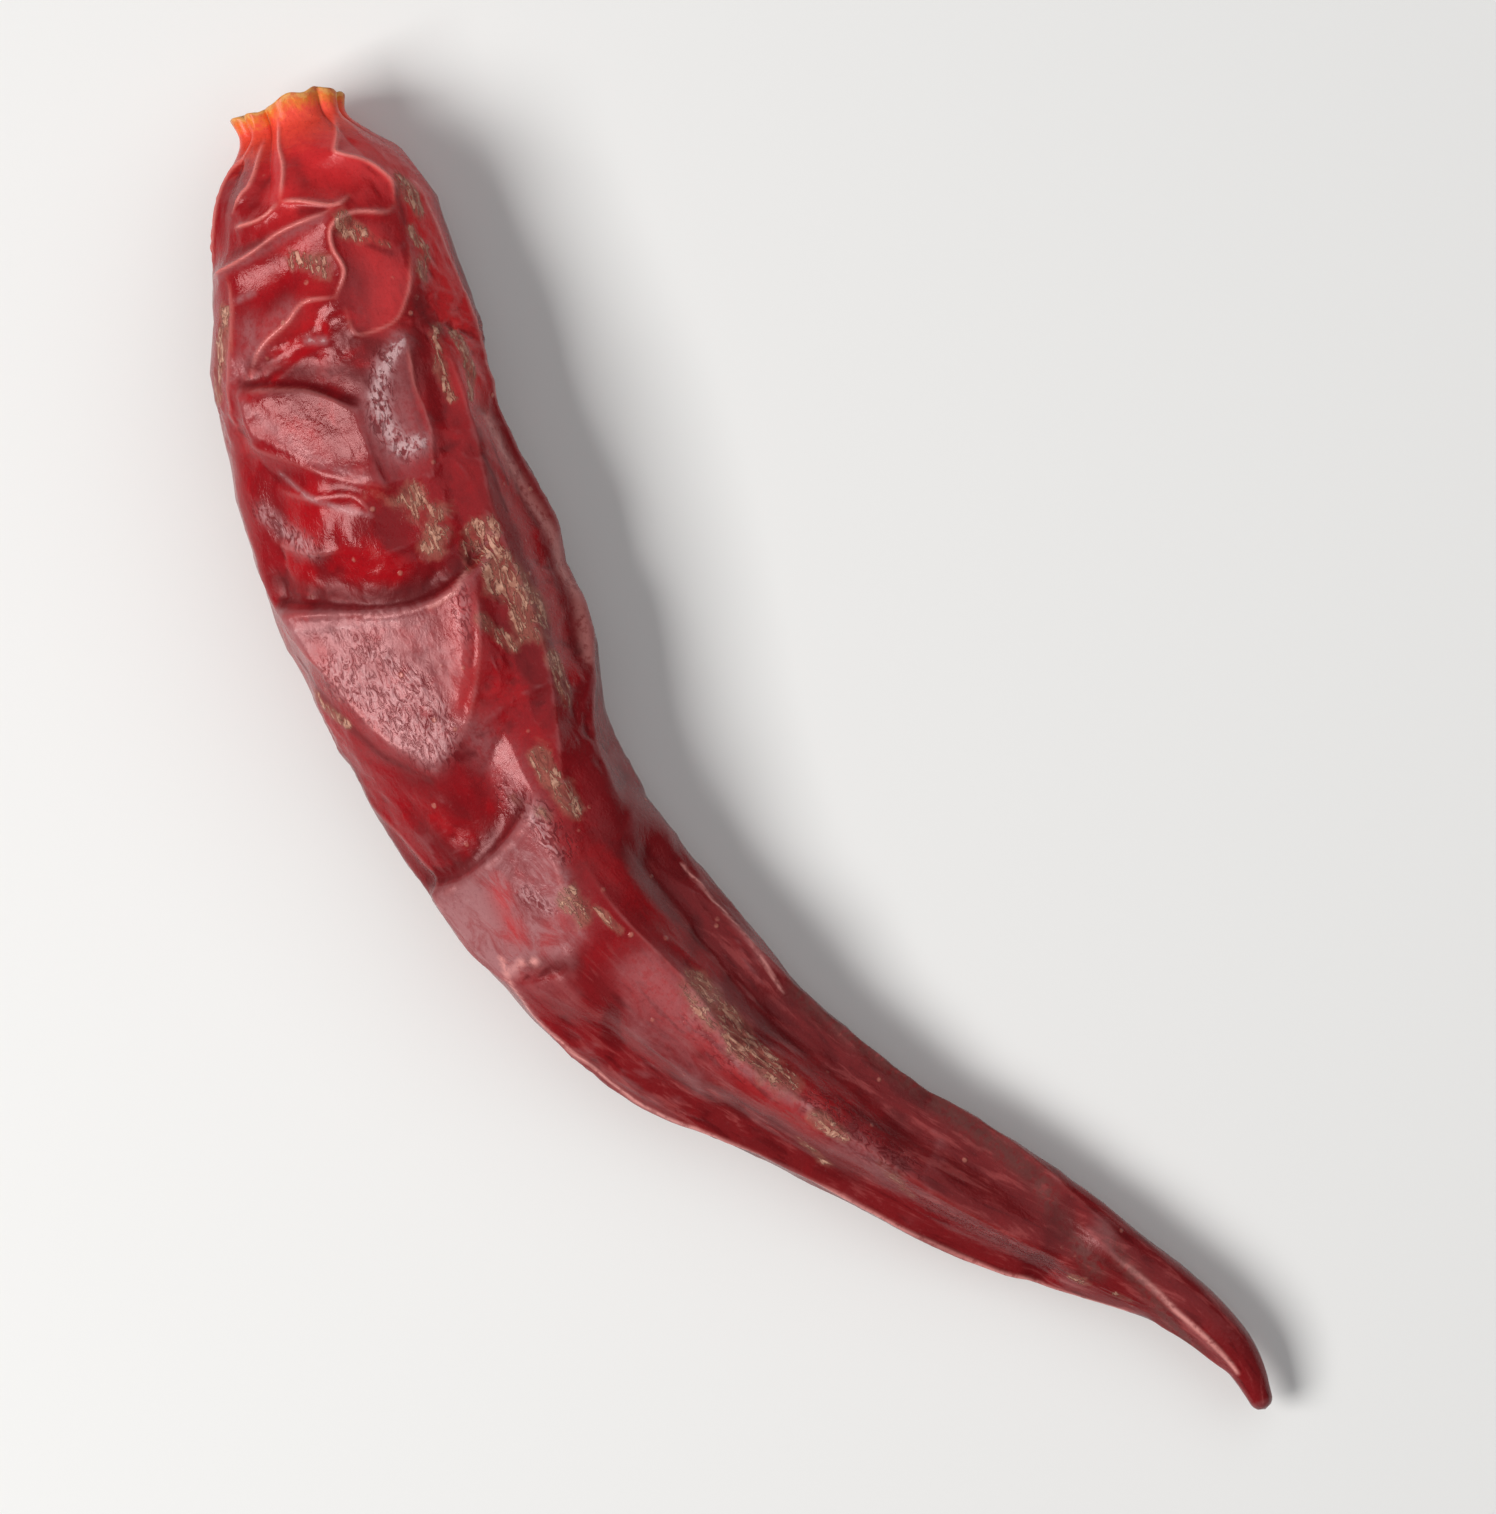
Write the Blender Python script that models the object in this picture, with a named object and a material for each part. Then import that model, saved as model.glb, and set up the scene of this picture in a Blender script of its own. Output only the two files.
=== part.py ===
"""A dried chili pepper that has lost its stalk: one crumpled, bowed pod lying on its side.

The pod is one piece of dried fruit wall. It starts as a UV sphere whose rings are laid along the pod. The
first rings line the small torn mouth where the stalk came off. The others run over the torn rim, the
pleated neck, the shoulder, the belly and the thin hooked tail to the tip. Lengths are in metres.

Every point of the skin has a station, the distance along the pod from the torn rim, and an angle round the
pod: 0 on top, 90 degrees towards +Y, -90 towards -Y and 180 underneath.
"""

import math
from dataclasses import dataclass

import bmesh
import bpy
import numpy as np
from mathutils import Vector, kdtree, noise

MM = 0.001

# The driving sizes, along the pod.
LENGTH = 91.7 * MM
TIP_ROUND = 0.9 * MM
WALL = 0.6 * MM
MOUTH_DEPTH = 6.5 * MM
MOUTH_ROUND = 2.6 * MM

# The centre line as the pod lies, seen from above: station, x and y in millimetres.
CENTRE_LINE = (
    (0.0, 0.0, 0.0),
    (7.2, 6.7, -2.5),
    (14.9, 13.6, -6.0),
    (23.4, 21.6, -9.0),
    (31.9, 29.8, -11.1),
    (39.0, 36.8, -12.6),
    (46.1, 43.7, -12.9),
    (54.5, 52.0, -11.7),
    (63.0, 60.1, -9.3),
    (71.4, 67.9, -5.9),
    (79.0, 74.7, -2.6),
    (84.6, 79.9, -0.3),
    (88.4, 83.6, 0.3),
    (91.7, 86.7, -0.3),
)
# How far apart the two places are that give its direction.
LINE_STEP = 0.3 * MM
# Half the pod's width seen from above, by station, both in millimetres.
HALF_WIDTH = (
    (0.0, 3.0), (1.4, 3.05), (2.6, 3.8), (4.0, 4.9), (6.0, 5.75), (8.0, 6.2), (12.0, 6.95), (20.0, 7.7),
    (25.0, 7.85), (31.0, 7.35), (37.0, 6.6), (46.0, 6.1), (53.0, 5.7), (58.0, 4.75), (64.0, 3.75),
    (73.0, 3.5), (78.0, 2.85), (82.0, 2.05), (88.0, 1.3), (91.7, 0.85),
)
# Half its thickness from the surface that it lies on to its top.
HALF_HEIGHT = (
    (0.0, 2.0), (1.4, 2.1), (4.0, 4.2), (8.0, 5.2), (20.0, 5.9), (31.0, 5.5), (46.0, 4.9), (57.0, 4.0),
    (66.0, 3.2), (75.0, 2.6), (82.0, 1.6), (88.0, 1.2), (91.7, 0.85),
)
# How high the centre line runs. The belly and the tail's root rest, and the neck and the tip stand clear.
CENTRE_HEIGHT = (
    (0.0, 5.5), (9.0, 5.6), (20.0, 6.0), (31.0, 5.6), (46.0, 5.1), (57.0, 4.3), (66.0, 3.5), (75.0, 2.75),
    (84.0, 3.3), (91.7, 2.6),
)
# How far the section is turned about the centre line, in degrees.
TWIST = ((0.0, 0.0), (30.0, 0.0), (60.0, -8.0), (80.0, -25.0), (91.7, -40.0))
# The section is an ellipse at 1, fuller below that, and above it has a roof ridge and two keels.
CORNERS = (
    (0.0, 0.92), (12.0, 0.95), (34.0, 1.0), (46.0, 1.12), (58.0, 1.28), (76.0, 1.25), (84.0, 1.0),
    (91.7, 1.0),
)

# How closely the rings follow each other: share of the outer rings, and the station that they reach.
RING_SPREAD = ((0.0, 0.0), (0.22, 9.0), (0.62, 50.0), (0.94, 88.6), (1.0, 91.7))
SEGMENTS = 54
MOUTH_RINGS = 8
OUTER_RINGS = 96

# The pleats that draw the neck together: each valley's angle in degrees and its depth in millimetres.
PLEATS = (
    (-62, 0.55), (-24, 0.85), (36, 0.28), (74, 0.45), (118, 0.65), (158, 0.75), (196, 0.60), (240, 0.80),
)
# How wide the valleys are, how far the pleats between them swell, and how far down the neck they reach.
PLEAT_WIDTH = 0.75 * MM
PLEAT_SWELL = 0.30 * MM
PLEAT_REACH = 3.6 * MM
# The torn rim: how ragged its edge is, and how far down the wall follows it.
TEAR_HEIGHT = 0.55 * MM
TEAR_REACH = 1.6 * MM
# The waves that its edge is made of: how many go round, where each starts and its share.
TEAR_WAVES = ((2, 1.6, 0.34), (3, 0.0, 0.30), (9, 1.7, 0.14), (14, 0.5, 0.10))
# How far the rim turns out, and over what distance.
RIM_TURN_OUT = 0.30 * MM
RIM_REACH = 0.9 * MM

# What the folds' crests are rounded by, so that this mesh can follow them, and the steps in a fold's line.
CREST_SOFTNESS = 0.45 * MM
STEPS_A_POINT = 6


@dataclass
class Fold:
    """A raised crease, or a sunk one where rise is negative, with its rise and width in millimetres.

    Its line runs through points of station and angle, in millimetres and degrees.
    """

    points: tuple
    rise: float
    width: float


# The creases that run down from the drawn neck and meet each other over the shoulder.
NECK_FOLDS = (
    Fold(((0.6, -10), (2.0, -14), (3.6, -12), (5.3, -16)), 0.30, 0.50),
    Fold(((5.3, -16), (5.9, -29), (5.9, -50)), 0.30, 0.50),
    Fold(((5.3, -16), (5.6, -6), (6.3, 8), (6.0, 17)), 0.32, 0.50),
    Fold(((1.5, 46), (3.3, 22), (3.8, 23), (4.6, 36), (5.8, 43), (6.9, 40)), 0.34, 0.55),
    Fold(((6.9, 40), (7.2, 32), (6.9, 16), (7.3, 5), (8.4, 3), (9.7, 6), (11.0, 1)), 0.46, 0.60),
    Fold(((11.0, 1), (11.0, -12), (11.9, -21), (12.8, -35), (14.4, -49)), 0.46, 0.75),
    Fold(((11.7, 4), (13.0, 6), (13.1, 13), (12.4, 27), (9.7, 39), (8.8, 42)), 0.32, 1.10),
    Fold(((8.6, -76), (8.0, -45), (7.0, -19), (6.6, 2), (6.3, 10)), 0.55, 0.70),
    Fold(((0.8, -44), (1.7, -50), (2.7, -74), (4.7, -72), (8.0, -78)), 0.34, 0.60),
    Fold(((1.6, -32), (3.6, -36), (4.2, -43), (5.0, -53)), 0.28, 0.50),
    Fold(((8.6, -56), (11.0, -54), (14.2, -58), (17.0, -62)), 0.26, 1.20),
)
# The edges of the broad panels over the belly, and the lengthwise ridge on their far side.
BELLY_FOLDS = (
    Fold(((14.6, -50), (15.0, -30), (15.6, -14), (17.0, 0)), 0.26, 0.60),
    Fold(((17.0, -56), (18.6, -32), (20.0, -14), (21.4, 4)), 0.34, 0.50),
    Fold(((14.0, 27), (16.4, 25), (19.0, 26), (21.6, 20)), 0.22, 0.60),
    Fold(((19.6, -46), (20.6, -28), (21.2, -10), (22.8, -4)), 0.24, 0.45),
    Fold(((25.0, -70), (26.5, -34), (27.5, -14), (27.8, 2), (27.6, 12), (26.6, 24)), 0.42, 0.45),
    Fold(((25.6, -68), (29.2, -50), (32.8, -41), (35.8, -24)), 0.30, 0.60),
    Fold(((27.6, 22), (30.8, 14), (33.6, 2), (35.4, -14)), 0.26, 0.60),
    Fold(((40.6, -76), (41.3, -48), (41.0, -20), (40.2, 4), (39.4, 13)), 0.34, 0.50),
    Fold(((42.6, -80), (45.0, -70), (46.1, -60), (46.8, -36), (46.9, -22)), 0.30, 0.60),
    Fold(((39.6, 12), (42.0, 9), (44.6, -3), (46.6, -8)), 0.24, 0.60),
    Fold(((22.0, -60), (23.2, -36), (23.6, -22)), 0.24, 0.45),
    Fold(((13.0, 44), (18.0, 46), (24.2, 40), (28.8, 40), (31.3, 41), (35.8, 36), (42.9, 17)), 0.42, 1.20),
    Fold(((8.0, 70), (15.0, 72), (21.5, 73), (27.9, 80), (33.0, 75), (37.0, 58), (42.0, 52)), 0.42, 0.80),
    Fold(((35.4, -86), (37.9, -72), (40.4, -66), (43.0, -74)), 0.26, 0.80),
)
# The tail's roof ridge and its two keels.
TAIL_FOLDS = (
    Fold(((42.9, 17), (46.8, 15), (52.9, 17), (57.6, 3), (62.5, 9), (70.0, 2), (78.0, -4)), 0.50, 0.90),
    Fold(((46.1, -60), (50.5, -76), (54.1, -82), (59.4, -68), (65.5, -58), (74.3, -60), (81.9, -52)),
         0.42, 0.60),
    Fold(((49.0, 70), (54.0, 66), (59.2, 78), (66.8, 84), (72.3, 80), (79.1, 60)), 0.34, 0.60),
    Fold(((77.0, 50), (80.2, 32), (84.0, 8), (89.0, 0)), 0.22, 0.50),
    Fold(((83.0, -46), (86.0, -40), (89.0, -30)), 0.16, 0.40),
)
# The hollows beside them, where the wall has sunk in.
HOLLOWS = (
    Fold(((3.4, -4), (4.6, 6)), -0.35, 1.10),
    Fold(((4.0, -26), (5.0, -32)), -0.30, 0.70),
    Fold(((9.2, -20), (10.2, -34)), -0.40, 1.50),
    Fold(((12.6, -10), (13.4, -28), (14.4, -46)), -0.35, 0.90),
    Fold(((22.0, -50), (24.2, -36), (25.4, -14)), -0.25, 1.20),
    Fold(((37.0, -50), (38.4, -34), (39.0, -14)), -0.25, 1.60),
    Fold(((49.6, -56), (51.0, -40)), -0.30, 1.20),
    Fold(((19.0, 60), (26.0, 62), (33.0, 60)), -0.45, 1.40),
    Fold(((46.0, 52), (56.0, 46), (68.0, 44), (76.0, 40)), -0.60, 1.50),
    Fold(((52.0, -46), (58.0, -40), (68.0, -34), (76.0, -36)), -0.50, 1.40),
)
# A fold fades over this share of its length at both ends, to this share of its rise.
FADE_LENGTH = 0.18
FADED_RISE = 0.30


@dataclass
class Step:
    """An edge across the pod that the skin steps up over, after sagging towards it from the neck's side.

    The edge runs through points of (angle, station). It is drop high, and the sag reaches back by reach.
    """

    points: tuple
    drop: float
    reach: float


STEPS = (
    Step(((-56, 14.7), (-30, 15.3), (-14, 15.8), (0, 16.9), (8, 17.6)), 0.50, 1.5),
    Step(((-76, 25.0), (-45, 26.0), (-25, 27.0), (-8, 27.7), (5, 27.9), (20, 27.4), (36, 26.2)), 0.90, 3.0),
    Step(((-86, 40.9), (-66, 41.0), (-46, 41.3), (-20, 41.0), (0, 40.2), (12, 39.4)), 0.70, 2.6),
    Step(((-64, 46.6), (-46, 47.4), (-26, 48.0)), 0.45, 1.1),
)
# How long the wall of a step is, and over what angle it fades out at its ends, in degrees.
STEP_WALL = 1.0
STEP_FADE = 10.0


@dataclass
class Panel:
    """A taut, nearly flat panel of the wall, and how flat it is.

    Its corners are (station, angle, rise off the smooth pod), in millimetres and degrees.
    """

    corners: tuple
    flat: float


TAUT_PANELS = (
    Panel(((14.9, -50, 0.15), (15.6, -20, 0.10), (17.0, 0, 0.15), (21.0, 2, 0.30), (19.3, -20, 0.30),
           (16.8, -48, 0.25)), 0.80),
    Panel(((14.2, 24, 0.20), (15.4, 6, 0.20), (17.9, 2, 0.20), (21.0, 5, 0.25), (21.4, 19, 0.25)), 0.60),
    Panel(((25.6, -62, 0.15), (26.5, -34, 0.05), (27.8, 2, 0.20), (27.5, 20, 0.35), (30.6, 9, 0.30),
           (34.6, -9, 0.25), (35.7, -24, 0.25), (32.6, -42, 0.25), (29.0, -52, 0.25)), 0.80),
    Panel(((41.2, -68, 0.20), (41.3, -46, 0.10), (41.0, -18, 0.10), (40.0, 10, 0.25), (44.0, 4, 0.15),
           (46.8, -10, 0.15), (46.8, -36, 0.20), (46.0, -60, 0.30), (43.4, -74, 0.20)), 0.75),
    Panel(((49.4, -8, 0.15), (50.2, 14, 0.25), (55.0, 10, 0.25), (57.4, 0, 0.20), (56.0, -30, 0.05),
           (52.0, -28, 0.05)), 0.60),
    Panel(((9.2, 9, 0.20), (8.9, 36, 0.25), (11.2, 35, 0.20), (13.0, 18, 0.20), (12.6, 9, 0.25)), 0.60),
)
# How soon the skin turns away from a panel's edge.
PANEL_EDGE = 0.90 * MM
# How far a panel can stand proud, and the least that the skin under it counts as facing its way.
PANEL_PROUD = 0.42 * MM
LEAST_FACING = 0.4


@dataclass
class Cells:
    """A net of shallow dished panels between rounded crests over the whole skin, in millimetres."""

    length: float
    width: float
    depth: float
    crest: float
    rounding: float
    seed: int


PANELS = Cells(length=10.0, width=7.5, depth=0.62, crest=1.60, rounding=0.80, seed=11)
PUCKERS = Cells(length=3.6, width=2.6, depth=0.17, crest=0.60, rounding=0.10, seed=5)
# The panels run lengthwise: along the pod a millimetre counts for this much less.
PANEL_STRETCH = 0.62
# The shallowest panel against the deepest.
LEAST_DEPTH = 0.35
# How far the middles stray from even rows, round the pod and along it, in steps between them.
STRAY_ROUND = 0.32
STRAY_ALONG = 0.35
# How many of the nearest middles can border a panel at one place.
NEAR_CELLS = 6
# How far the cells' edges wander, and over what distance.
WANDER = 1.6 * MM
WANDER_SCALE = 5.0 * MM
# Broad swells and dents, stretched along the pod like the panels.
SWELL = 0.45 * MM
SWELL_SCALE = 8.0 * MM
# The section that carries the relief in full; thinner ones carry less of it.
FULL_GIRTH = 7.0 * MM
LEAST_GIRTH = 0.12
# How far down from the rim the neck's own creases crowd the panels out.
NECK_REACH = 13.0 * MM
NECK_CALMS = 0.65
# Where the small puckers gather: everywhere a little, more at the neck and in patches.
PUCKER_EVERYWHERE = 0.35
PUCKER_AT_NECK = 0.45
PUCKER_IN_PATCHES = 0.90
LEAST_PUCKERED = 0.05
MOST_PUCKERED = 1.3
PATCH_SCALE = 9.0 * MM
# Nothing sinks or rises by more than this share of the half width, so the neck and tail hold together.
MOST_RELIEF = 0.42

# The skin sags to this height where it rests, which leaves small flat spots there.
REST_CUT = 0.35 * MM
# The belly's resting stretch, where the relief fades out: station from and to, and half its angle.
REST_FROM = 12.0 * MM
REST_TO = 34.0 * MM
REST_HALF_ANGLE = math.radians(38.0)
REST_BLEND = 4.0 * MM
REST_EDGE = 1.6

SKIN_COLOUR = (0.30, 0.012, 0.014, 1.0)
SKIN_ROUGHNESS = 0.32


def through(table, at, column=1):
    """A smooth curve through a table's rows. Their first column is the place, in millimetres or shares."""
    rows = np.array(table, float)
    knots = rows[:, 0]
    values = rows[:, column]
    slopes = np.gradient(values, knots)
    at = np.clip(at, knots[0], knots[-1])
    i = np.clip(np.searchsorted(knots, at, side="right") - 1, 0, len(knots) - 2)
    span = knots[i + 1] - knots[i]
    t = (at - knots[i]) / span
    stays = (1 + 2 * t) * (1 - t) ** 2 * values[i] + t * t * (3 - 2 * t) * values[i + 1]
    leans = t * (1 - t) ** 2 * slopes[i] - t * t * (1 - t) * slopes[i + 1]
    return stays + span * leans


def along(table, station, column=1):
    """The table's value in metres at stations in metres."""
    return through(table, station / MM, column) * MM


def signed_power(values, power):
    return np.sign(values) * np.abs(values) ** power


def half_sizes(station):
    """Half the width and half the height of the section, drawn in to a round tip."""
    into_tip = np.clip((station - (LENGTH - TIP_ROUND)) / TIP_ROUND, 0, 1)
    close = np.sqrt(np.clip(1 - into_tip**2, 0, 1))
    return along(HALF_WIDTH, station) * close, along(HALF_HEIGHT, station) * close


def straight_points(station, angle):
    """Points of the smooth skin with the centre line pulled straight: along, across and up."""
    wide, high = half_sizes(station)
    corner = through(CORNERS, station / MM)
    across = wide * signed_power(np.sin(angle), corner)
    up = high * signed_power(np.cos(angle), corner)
    return np.stack([station, across, up], axis=-1)


def section_normals(station, angle):
    """The directions across and up that stand square on the smooth section."""
    wide, high = half_sizes(station)
    corner = through(CORNERS, station / MM)
    across = high * signed_power(np.sin(angle), 2 - corner)
    up = wide * signed_power(np.cos(angle), 2 - corner)
    normal = np.stack([across, up], axis=-1)
    return normal / np.maximum(np.linalg.norm(normal, axis=1), 1e-9)[:, None]


def distance_to_line(points, corners):
    """Each point's distance to a line through corners, and the nearest place's share along it, 0 to 1."""
    nearest = np.full(len(points), np.inf)
    share = np.zeros(len(points))
    lengths = np.linalg.norm(np.diff(corners, axis=0), axis=1)
    before = np.concatenate([[0.0], np.cumsum(lengths)])
    for start, end, length, run in zip(corners[:-1], corners[1:], lengths, before):
        way = end - start
        t = np.clip((points - start) @ way / length**2, 0, 1)
        apart = np.linalg.norm(points - (start + t[:, None] * way), axis=1)
        closer = apart < nearest
        nearest = np.where(closer, apart, nearest)
        share = np.where(closer, (run + t * length) / before[-1], share)
    return nearest, share


def fold_line(points, fold):
    """Each point's distance to a fold's smooth line, and the nearest place's share along it."""
    rows = np.array(fold.points, float)
    places = np.linspace(0, 1, STEPS_A_POINT * len(rows))
    share = np.linspace(0, 1, len(rows))
    station = through(np.stack([share, rows[:, 0]], 1), places) * MM
    angle = np.radians(through(np.stack([share, rows[:, 1]], 1), places))
    return distance_to_line(points, straight_points(station, angle))


def fold_height(points, fold):
    """How much one fold lifts each point: a crest with the skin hanging from it, fading at both ends."""
    apart, run = fold_line(points, fold)
    soft = np.sqrt(apart**2 + CREST_SOFTNESS**2) - CREST_SOFTNESS
    fade = np.clip(np.minimum(run, 1 - run) / FADE_LENGTH, 0, 1)
    faded = FADED_RISE + (1 - FADED_RISE) * fade
    return fold.rise * MM * np.exp(-soft / (fold.width * MM)) * faded


def inside(station, angle, corners):
    """Which places lie within a ring of corners, in millimetres and degrees."""
    x, y = station / MM, np.degrees(angle)
    within = np.zeros(len(x), bool)
    for (x1, y1, _), (x2, y2, _) in zip(corners, corners[1:] + corners[:1]):
        spans = (y1 > y) != (y2 > y)
        crossing = x1 + (y - y1) * (x2 - x1) / (y2 - y1 or 1e-9)
        within ^= spans & (x < crossing)
    return within


def panel_share(points, station, angle, panel):
    """How much each point belongs to a panel: 1 within it, and fading over its edge."""
    rows = np.array(panel.corners + panel.corners[:1], float)
    apart, _ = distance_to_line(points, straight_points(rows[:, 0] * MM, np.radians(rows[:, 1])))
    return np.where(inside(station, angle, panel.corners), 1.0, np.exp(-apart / PANEL_EDGE))


def panel_height(points, station, angle, panel):
    """How far out of the smooth pod the panel's plane lies at each point."""
    rows = np.array(panel.corners, float)
    places = rows[:, 0] * MM, np.radians(rows[:, 1])
    corners = straight_points(*places)
    corners[:, 1:] += section_normals(*places) * rows[:, 2:] * MM
    middle = corners.mean(axis=0)
    facing = np.linalg.svd(corners - middle)[2][2]
    facing *= np.sign(facing[2])
    against = section_normals(station, angle) @ facing[1:]
    out = ((middle - points) @ facing) / np.maximum(against, LEAST_FACING)
    return np.minimum(out, PANEL_PROUD)


def step_height(station, angle, step):
    """How deep the skin sags before a step, with the step's wall at the sag's end."""
    rows = np.array(step.points, float)
    degrees = np.degrees(angle)
    past = station / MM - through(rows, degrees)
    sag = np.exp(np.minimum(past + STEP_WALL, 0) / step.reach) * np.clip(-past / STEP_WALL, 0, 1)
    ends = np.minimum(degrees - rows[0, 0], rows[-1, 0] - degrees) / STEP_FADE
    return -step.drop * MM * sag * np.clip(ends, 0, 1)


def hollow_height(points, hollow):
    """How much one hollow sinks each point: a rounded trough."""
    rows = np.array(hollow.points, float)
    station = rows[:, 0] * MM
    angle = np.radians(rows[:, 1])
    apart, _ = distance_to_line(points, straight_points(station, angle))
    return hollow.rise * MM * np.exp(-((apart / (hollow.width * MM)) ** 2))


def wander(points):
    """Points pushed about by a smooth noise, so that nothing laid over them runs straight."""
    pushed = [p + np.array(noise.noise_vector(Vector(p / WANDER_SCALE))) * WANDER for p in points]
    return np.array(pushed)


def smooth_noise(points, scale, stretch=1.0):
    """A smooth noise of about -1 to 1, drawn out along the pod where stretch is below 1."""
    drawn = points * np.array([stretch, 1.0, 1.0]) / scale
    return np.array([noise.noise(Vector(p)) for p in drawn])


def cell_centres(cells):
    """The panels' middles, in rows round the pod, each row and each middle shifted by a seeded draw."""
    draw = np.random.default_rng(cells.seed)
    step = cells.length * MM
    last = LENGTH - TIP_ROUND
    centres = []
    for row in range(int(LENGTH / step) + 2):
        middle = min(max((row + draw.uniform(-STRAY_ALONG, STRAY_ALONG)) * step, 0.0), last)
        wide, high = half_sizes(np.array([middle]))
        around = max(2, round(math.pi * (wide[0] + high[0]) / (cells.width * MM)))
        turn = draw.uniform(0, 2 * math.pi)
        for k in range(around):
            angle = turn + (k + draw.uniform(-STRAY_ROUND, STRAY_ROUND)) * 2 * math.pi / around
            station = min(max(middle + draw.uniform(-STRAY_ALONG, STRAY_ALONG) * step, 0.0), last)
            centres.append(straight_points(np.array([station]), np.array([angle]))[0])
    depths = draw.uniform(LEAST_DEPTH, 1.0, len(centres))
    return np.array(centres), depths


def cell_height(points, cells, stretch):
    """How far the panels sink each point: nothing on the crests between them, and most in their middles."""
    centres, depths = cell_centres(cells)
    scale = np.array([stretch, 1.0, 1.0])
    there = centres * scale
    tree = kdtree.KDTree(len(there))
    for index, place in enumerate(there):
        tree.insert(place, index)
    tree.balance()
    found = [[(index, apart) for _, index, apart in tree.find_n(p, NEAR_CELLS)] for p in points * scale]
    found = np.array(found)
    near = found[:, :, 0].astype(int)
    apart = found[:, :, 1]
    between = np.linalg.norm(there[near[:, 1:]] - there[near[:, :1]], axis=2)
    to_crest = ((apart[:, 1:] ** 2 - apart[:, :1] ** 2) / (2 * between)).min(axis=1)
    rounding = max(cells.rounding * MM, 0.5 * CREST_SOFTNESS)
    soft = np.sqrt(to_crest**2 + rounding**2) - rounding
    return -cells.depth * MM * depths[near[:, 0]] * (1 - np.exp(-soft / (cells.crest * MM)))


def turn_between(angle, other):
    """The angle from other to angle, from -pi to pi."""
    return np.mod(angle - other + math.pi, 2 * math.pi) - math.pi


def pleat_height(station, angle):
    """The drawn neck: rounded pleats with pinched valleys between them, which run out over the shoulder."""
    wide, high = half_sizes(station)
    radius = 0.5 * (wide + high)
    out = np.full(len(station), PLEAT_SWELL)
    for degrees, depth in PLEATS:
        apart = np.abs(turn_between(angle, math.radians(degrees))) * radius
        out -= (depth * MM + PLEAT_SWELL) * np.exp(-apart / PLEAT_WIDTH)
    out += RIM_TURN_OUT * np.exp(-station / RIM_REACH)
    return out * np.exp(-((station / PLEAT_REACH) ** 2))


def resting(station, angle):
    """1 where the belly lies on the surface, and 0 away from there."""
    lying = np.abs(turn_between(angle, math.pi)) / REST_HALF_ANGLE
    begins = np.clip((station - REST_FROM) / REST_BLEND, 0, 1)
    ends = np.clip((REST_TO - station) / REST_BLEND, 0, 1)
    return begins * ends * np.clip(REST_EDGE * (1 - lying), 0, 1)


def relief(station, angle):
    """How far the skin stands out of the smooth pod, or in where it is negative, square on the section."""
    points = straight_points(station, angle)
    wandered = wander(points)
    wide, _ = half_sizes(station)
    girth = np.clip(wide / FULL_GIRTH, LEAST_GIRTH, 1.0)
    near_neck = np.exp(-((station / NECK_REACH) ** 2))
    patches = smooth_noise(points, PATCH_SCALE)
    puckered = PUCKER_EVERYWHERE + PUCKER_AT_NECK * near_neck + PUCKER_IN_PATCHES * patches
    puckered = np.clip(puckered, LEAST_PUCKERED, MOST_PUCKERED)
    out = cell_height(wandered, PANELS, PANEL_STRETCH) * girth * (1 - NECK_CALMS * near_neck)
    out += cell_height(wandered, PUCKERS, 1.0) * girth * puckered
    out += SWELL * smooth_noise(points, SWELL_SCALE, PANEL_STRETCH) * girth
    out *= 1 - resting(station, angle)
    for fold in NECK_FOLDS + BELLY_FOLDS + TAIL_FOLDS:
        out += fold_height(points, fold)
    for hollow in HOLLOWS:
        out += hollow_height(points, hollow)
    for step in STEPS:
        out += step_height(station, angle, step)
    for panel in TAUT_PANELS:
        flat = panel.flat * panel_share(points, station, angle, panel)
        out += flat * (panel_height(points, station, angle, panel) - out)
    out += pleat_height(station, angle)
    return np.clip(out, -MOST_RELIEF * wide, MOST_RELIEF * wide)


def tear(angle):
    """How far the torn rim stands proud, along the pod, at each angle."""
    ragged = sum(share * np.sin(count * angle + start) for count, start, share in TEAR_WAVES)
    return -TEAR_HEIGHT * ragged


def lay(station, across, up):
    """Bends the straight pod along its centre line and lifts it to where it lies."""
    turn = np.radians(through(TWIST, station / MM))
    side = across * np.cos(turn) + up * np.sin(turn)
    rise = up * np.cos(turn) - across * np.sin(turn)
    inside = np.clip(station, 0, LENGTH)
    ahead = [along(CENTRE_LINE, np.clip(inside + LINE_STEP, 0, LENGTH), column) for column in (1, 2)]
    behind = [along(CENTRE_LINE, np.clip(inside - LINE_STEP, 0, LENGTH), column) for column in (1, 2)]
    way = np.stack([ahead[0] - behind[0], ahead[1] - behind[1]], axis=-1)
    way /= np.linalg.norm(way, axis=1)[:, None]
    beyond = station - inside
    x = along(CENTRE_LINE, inside, 1) + beyond * way[:, 0] - side * way[:, 1]
    y = along(CENTRE_LINE, inside, 2) + beyond * way[:, 1] + side * way[:, 0]
    z = along(CENTRE_HEIGHT, inside) + rise
    return np.stack([x, y, z], axis=-1)


def outer_skin(station, angle):
    """Points of the outside, laid in place."""
    points = straight_points(station, angle)
    normal = section_normals(station, angle)
    out = relief(station, angle)
    torn = tear(angle) * np.exp(-station / TEAR_REACH)
    return lay(station + torn, points[:, 1] + out * normal[:, 0], points[:, 2] + out * normal[:, 1])


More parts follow.
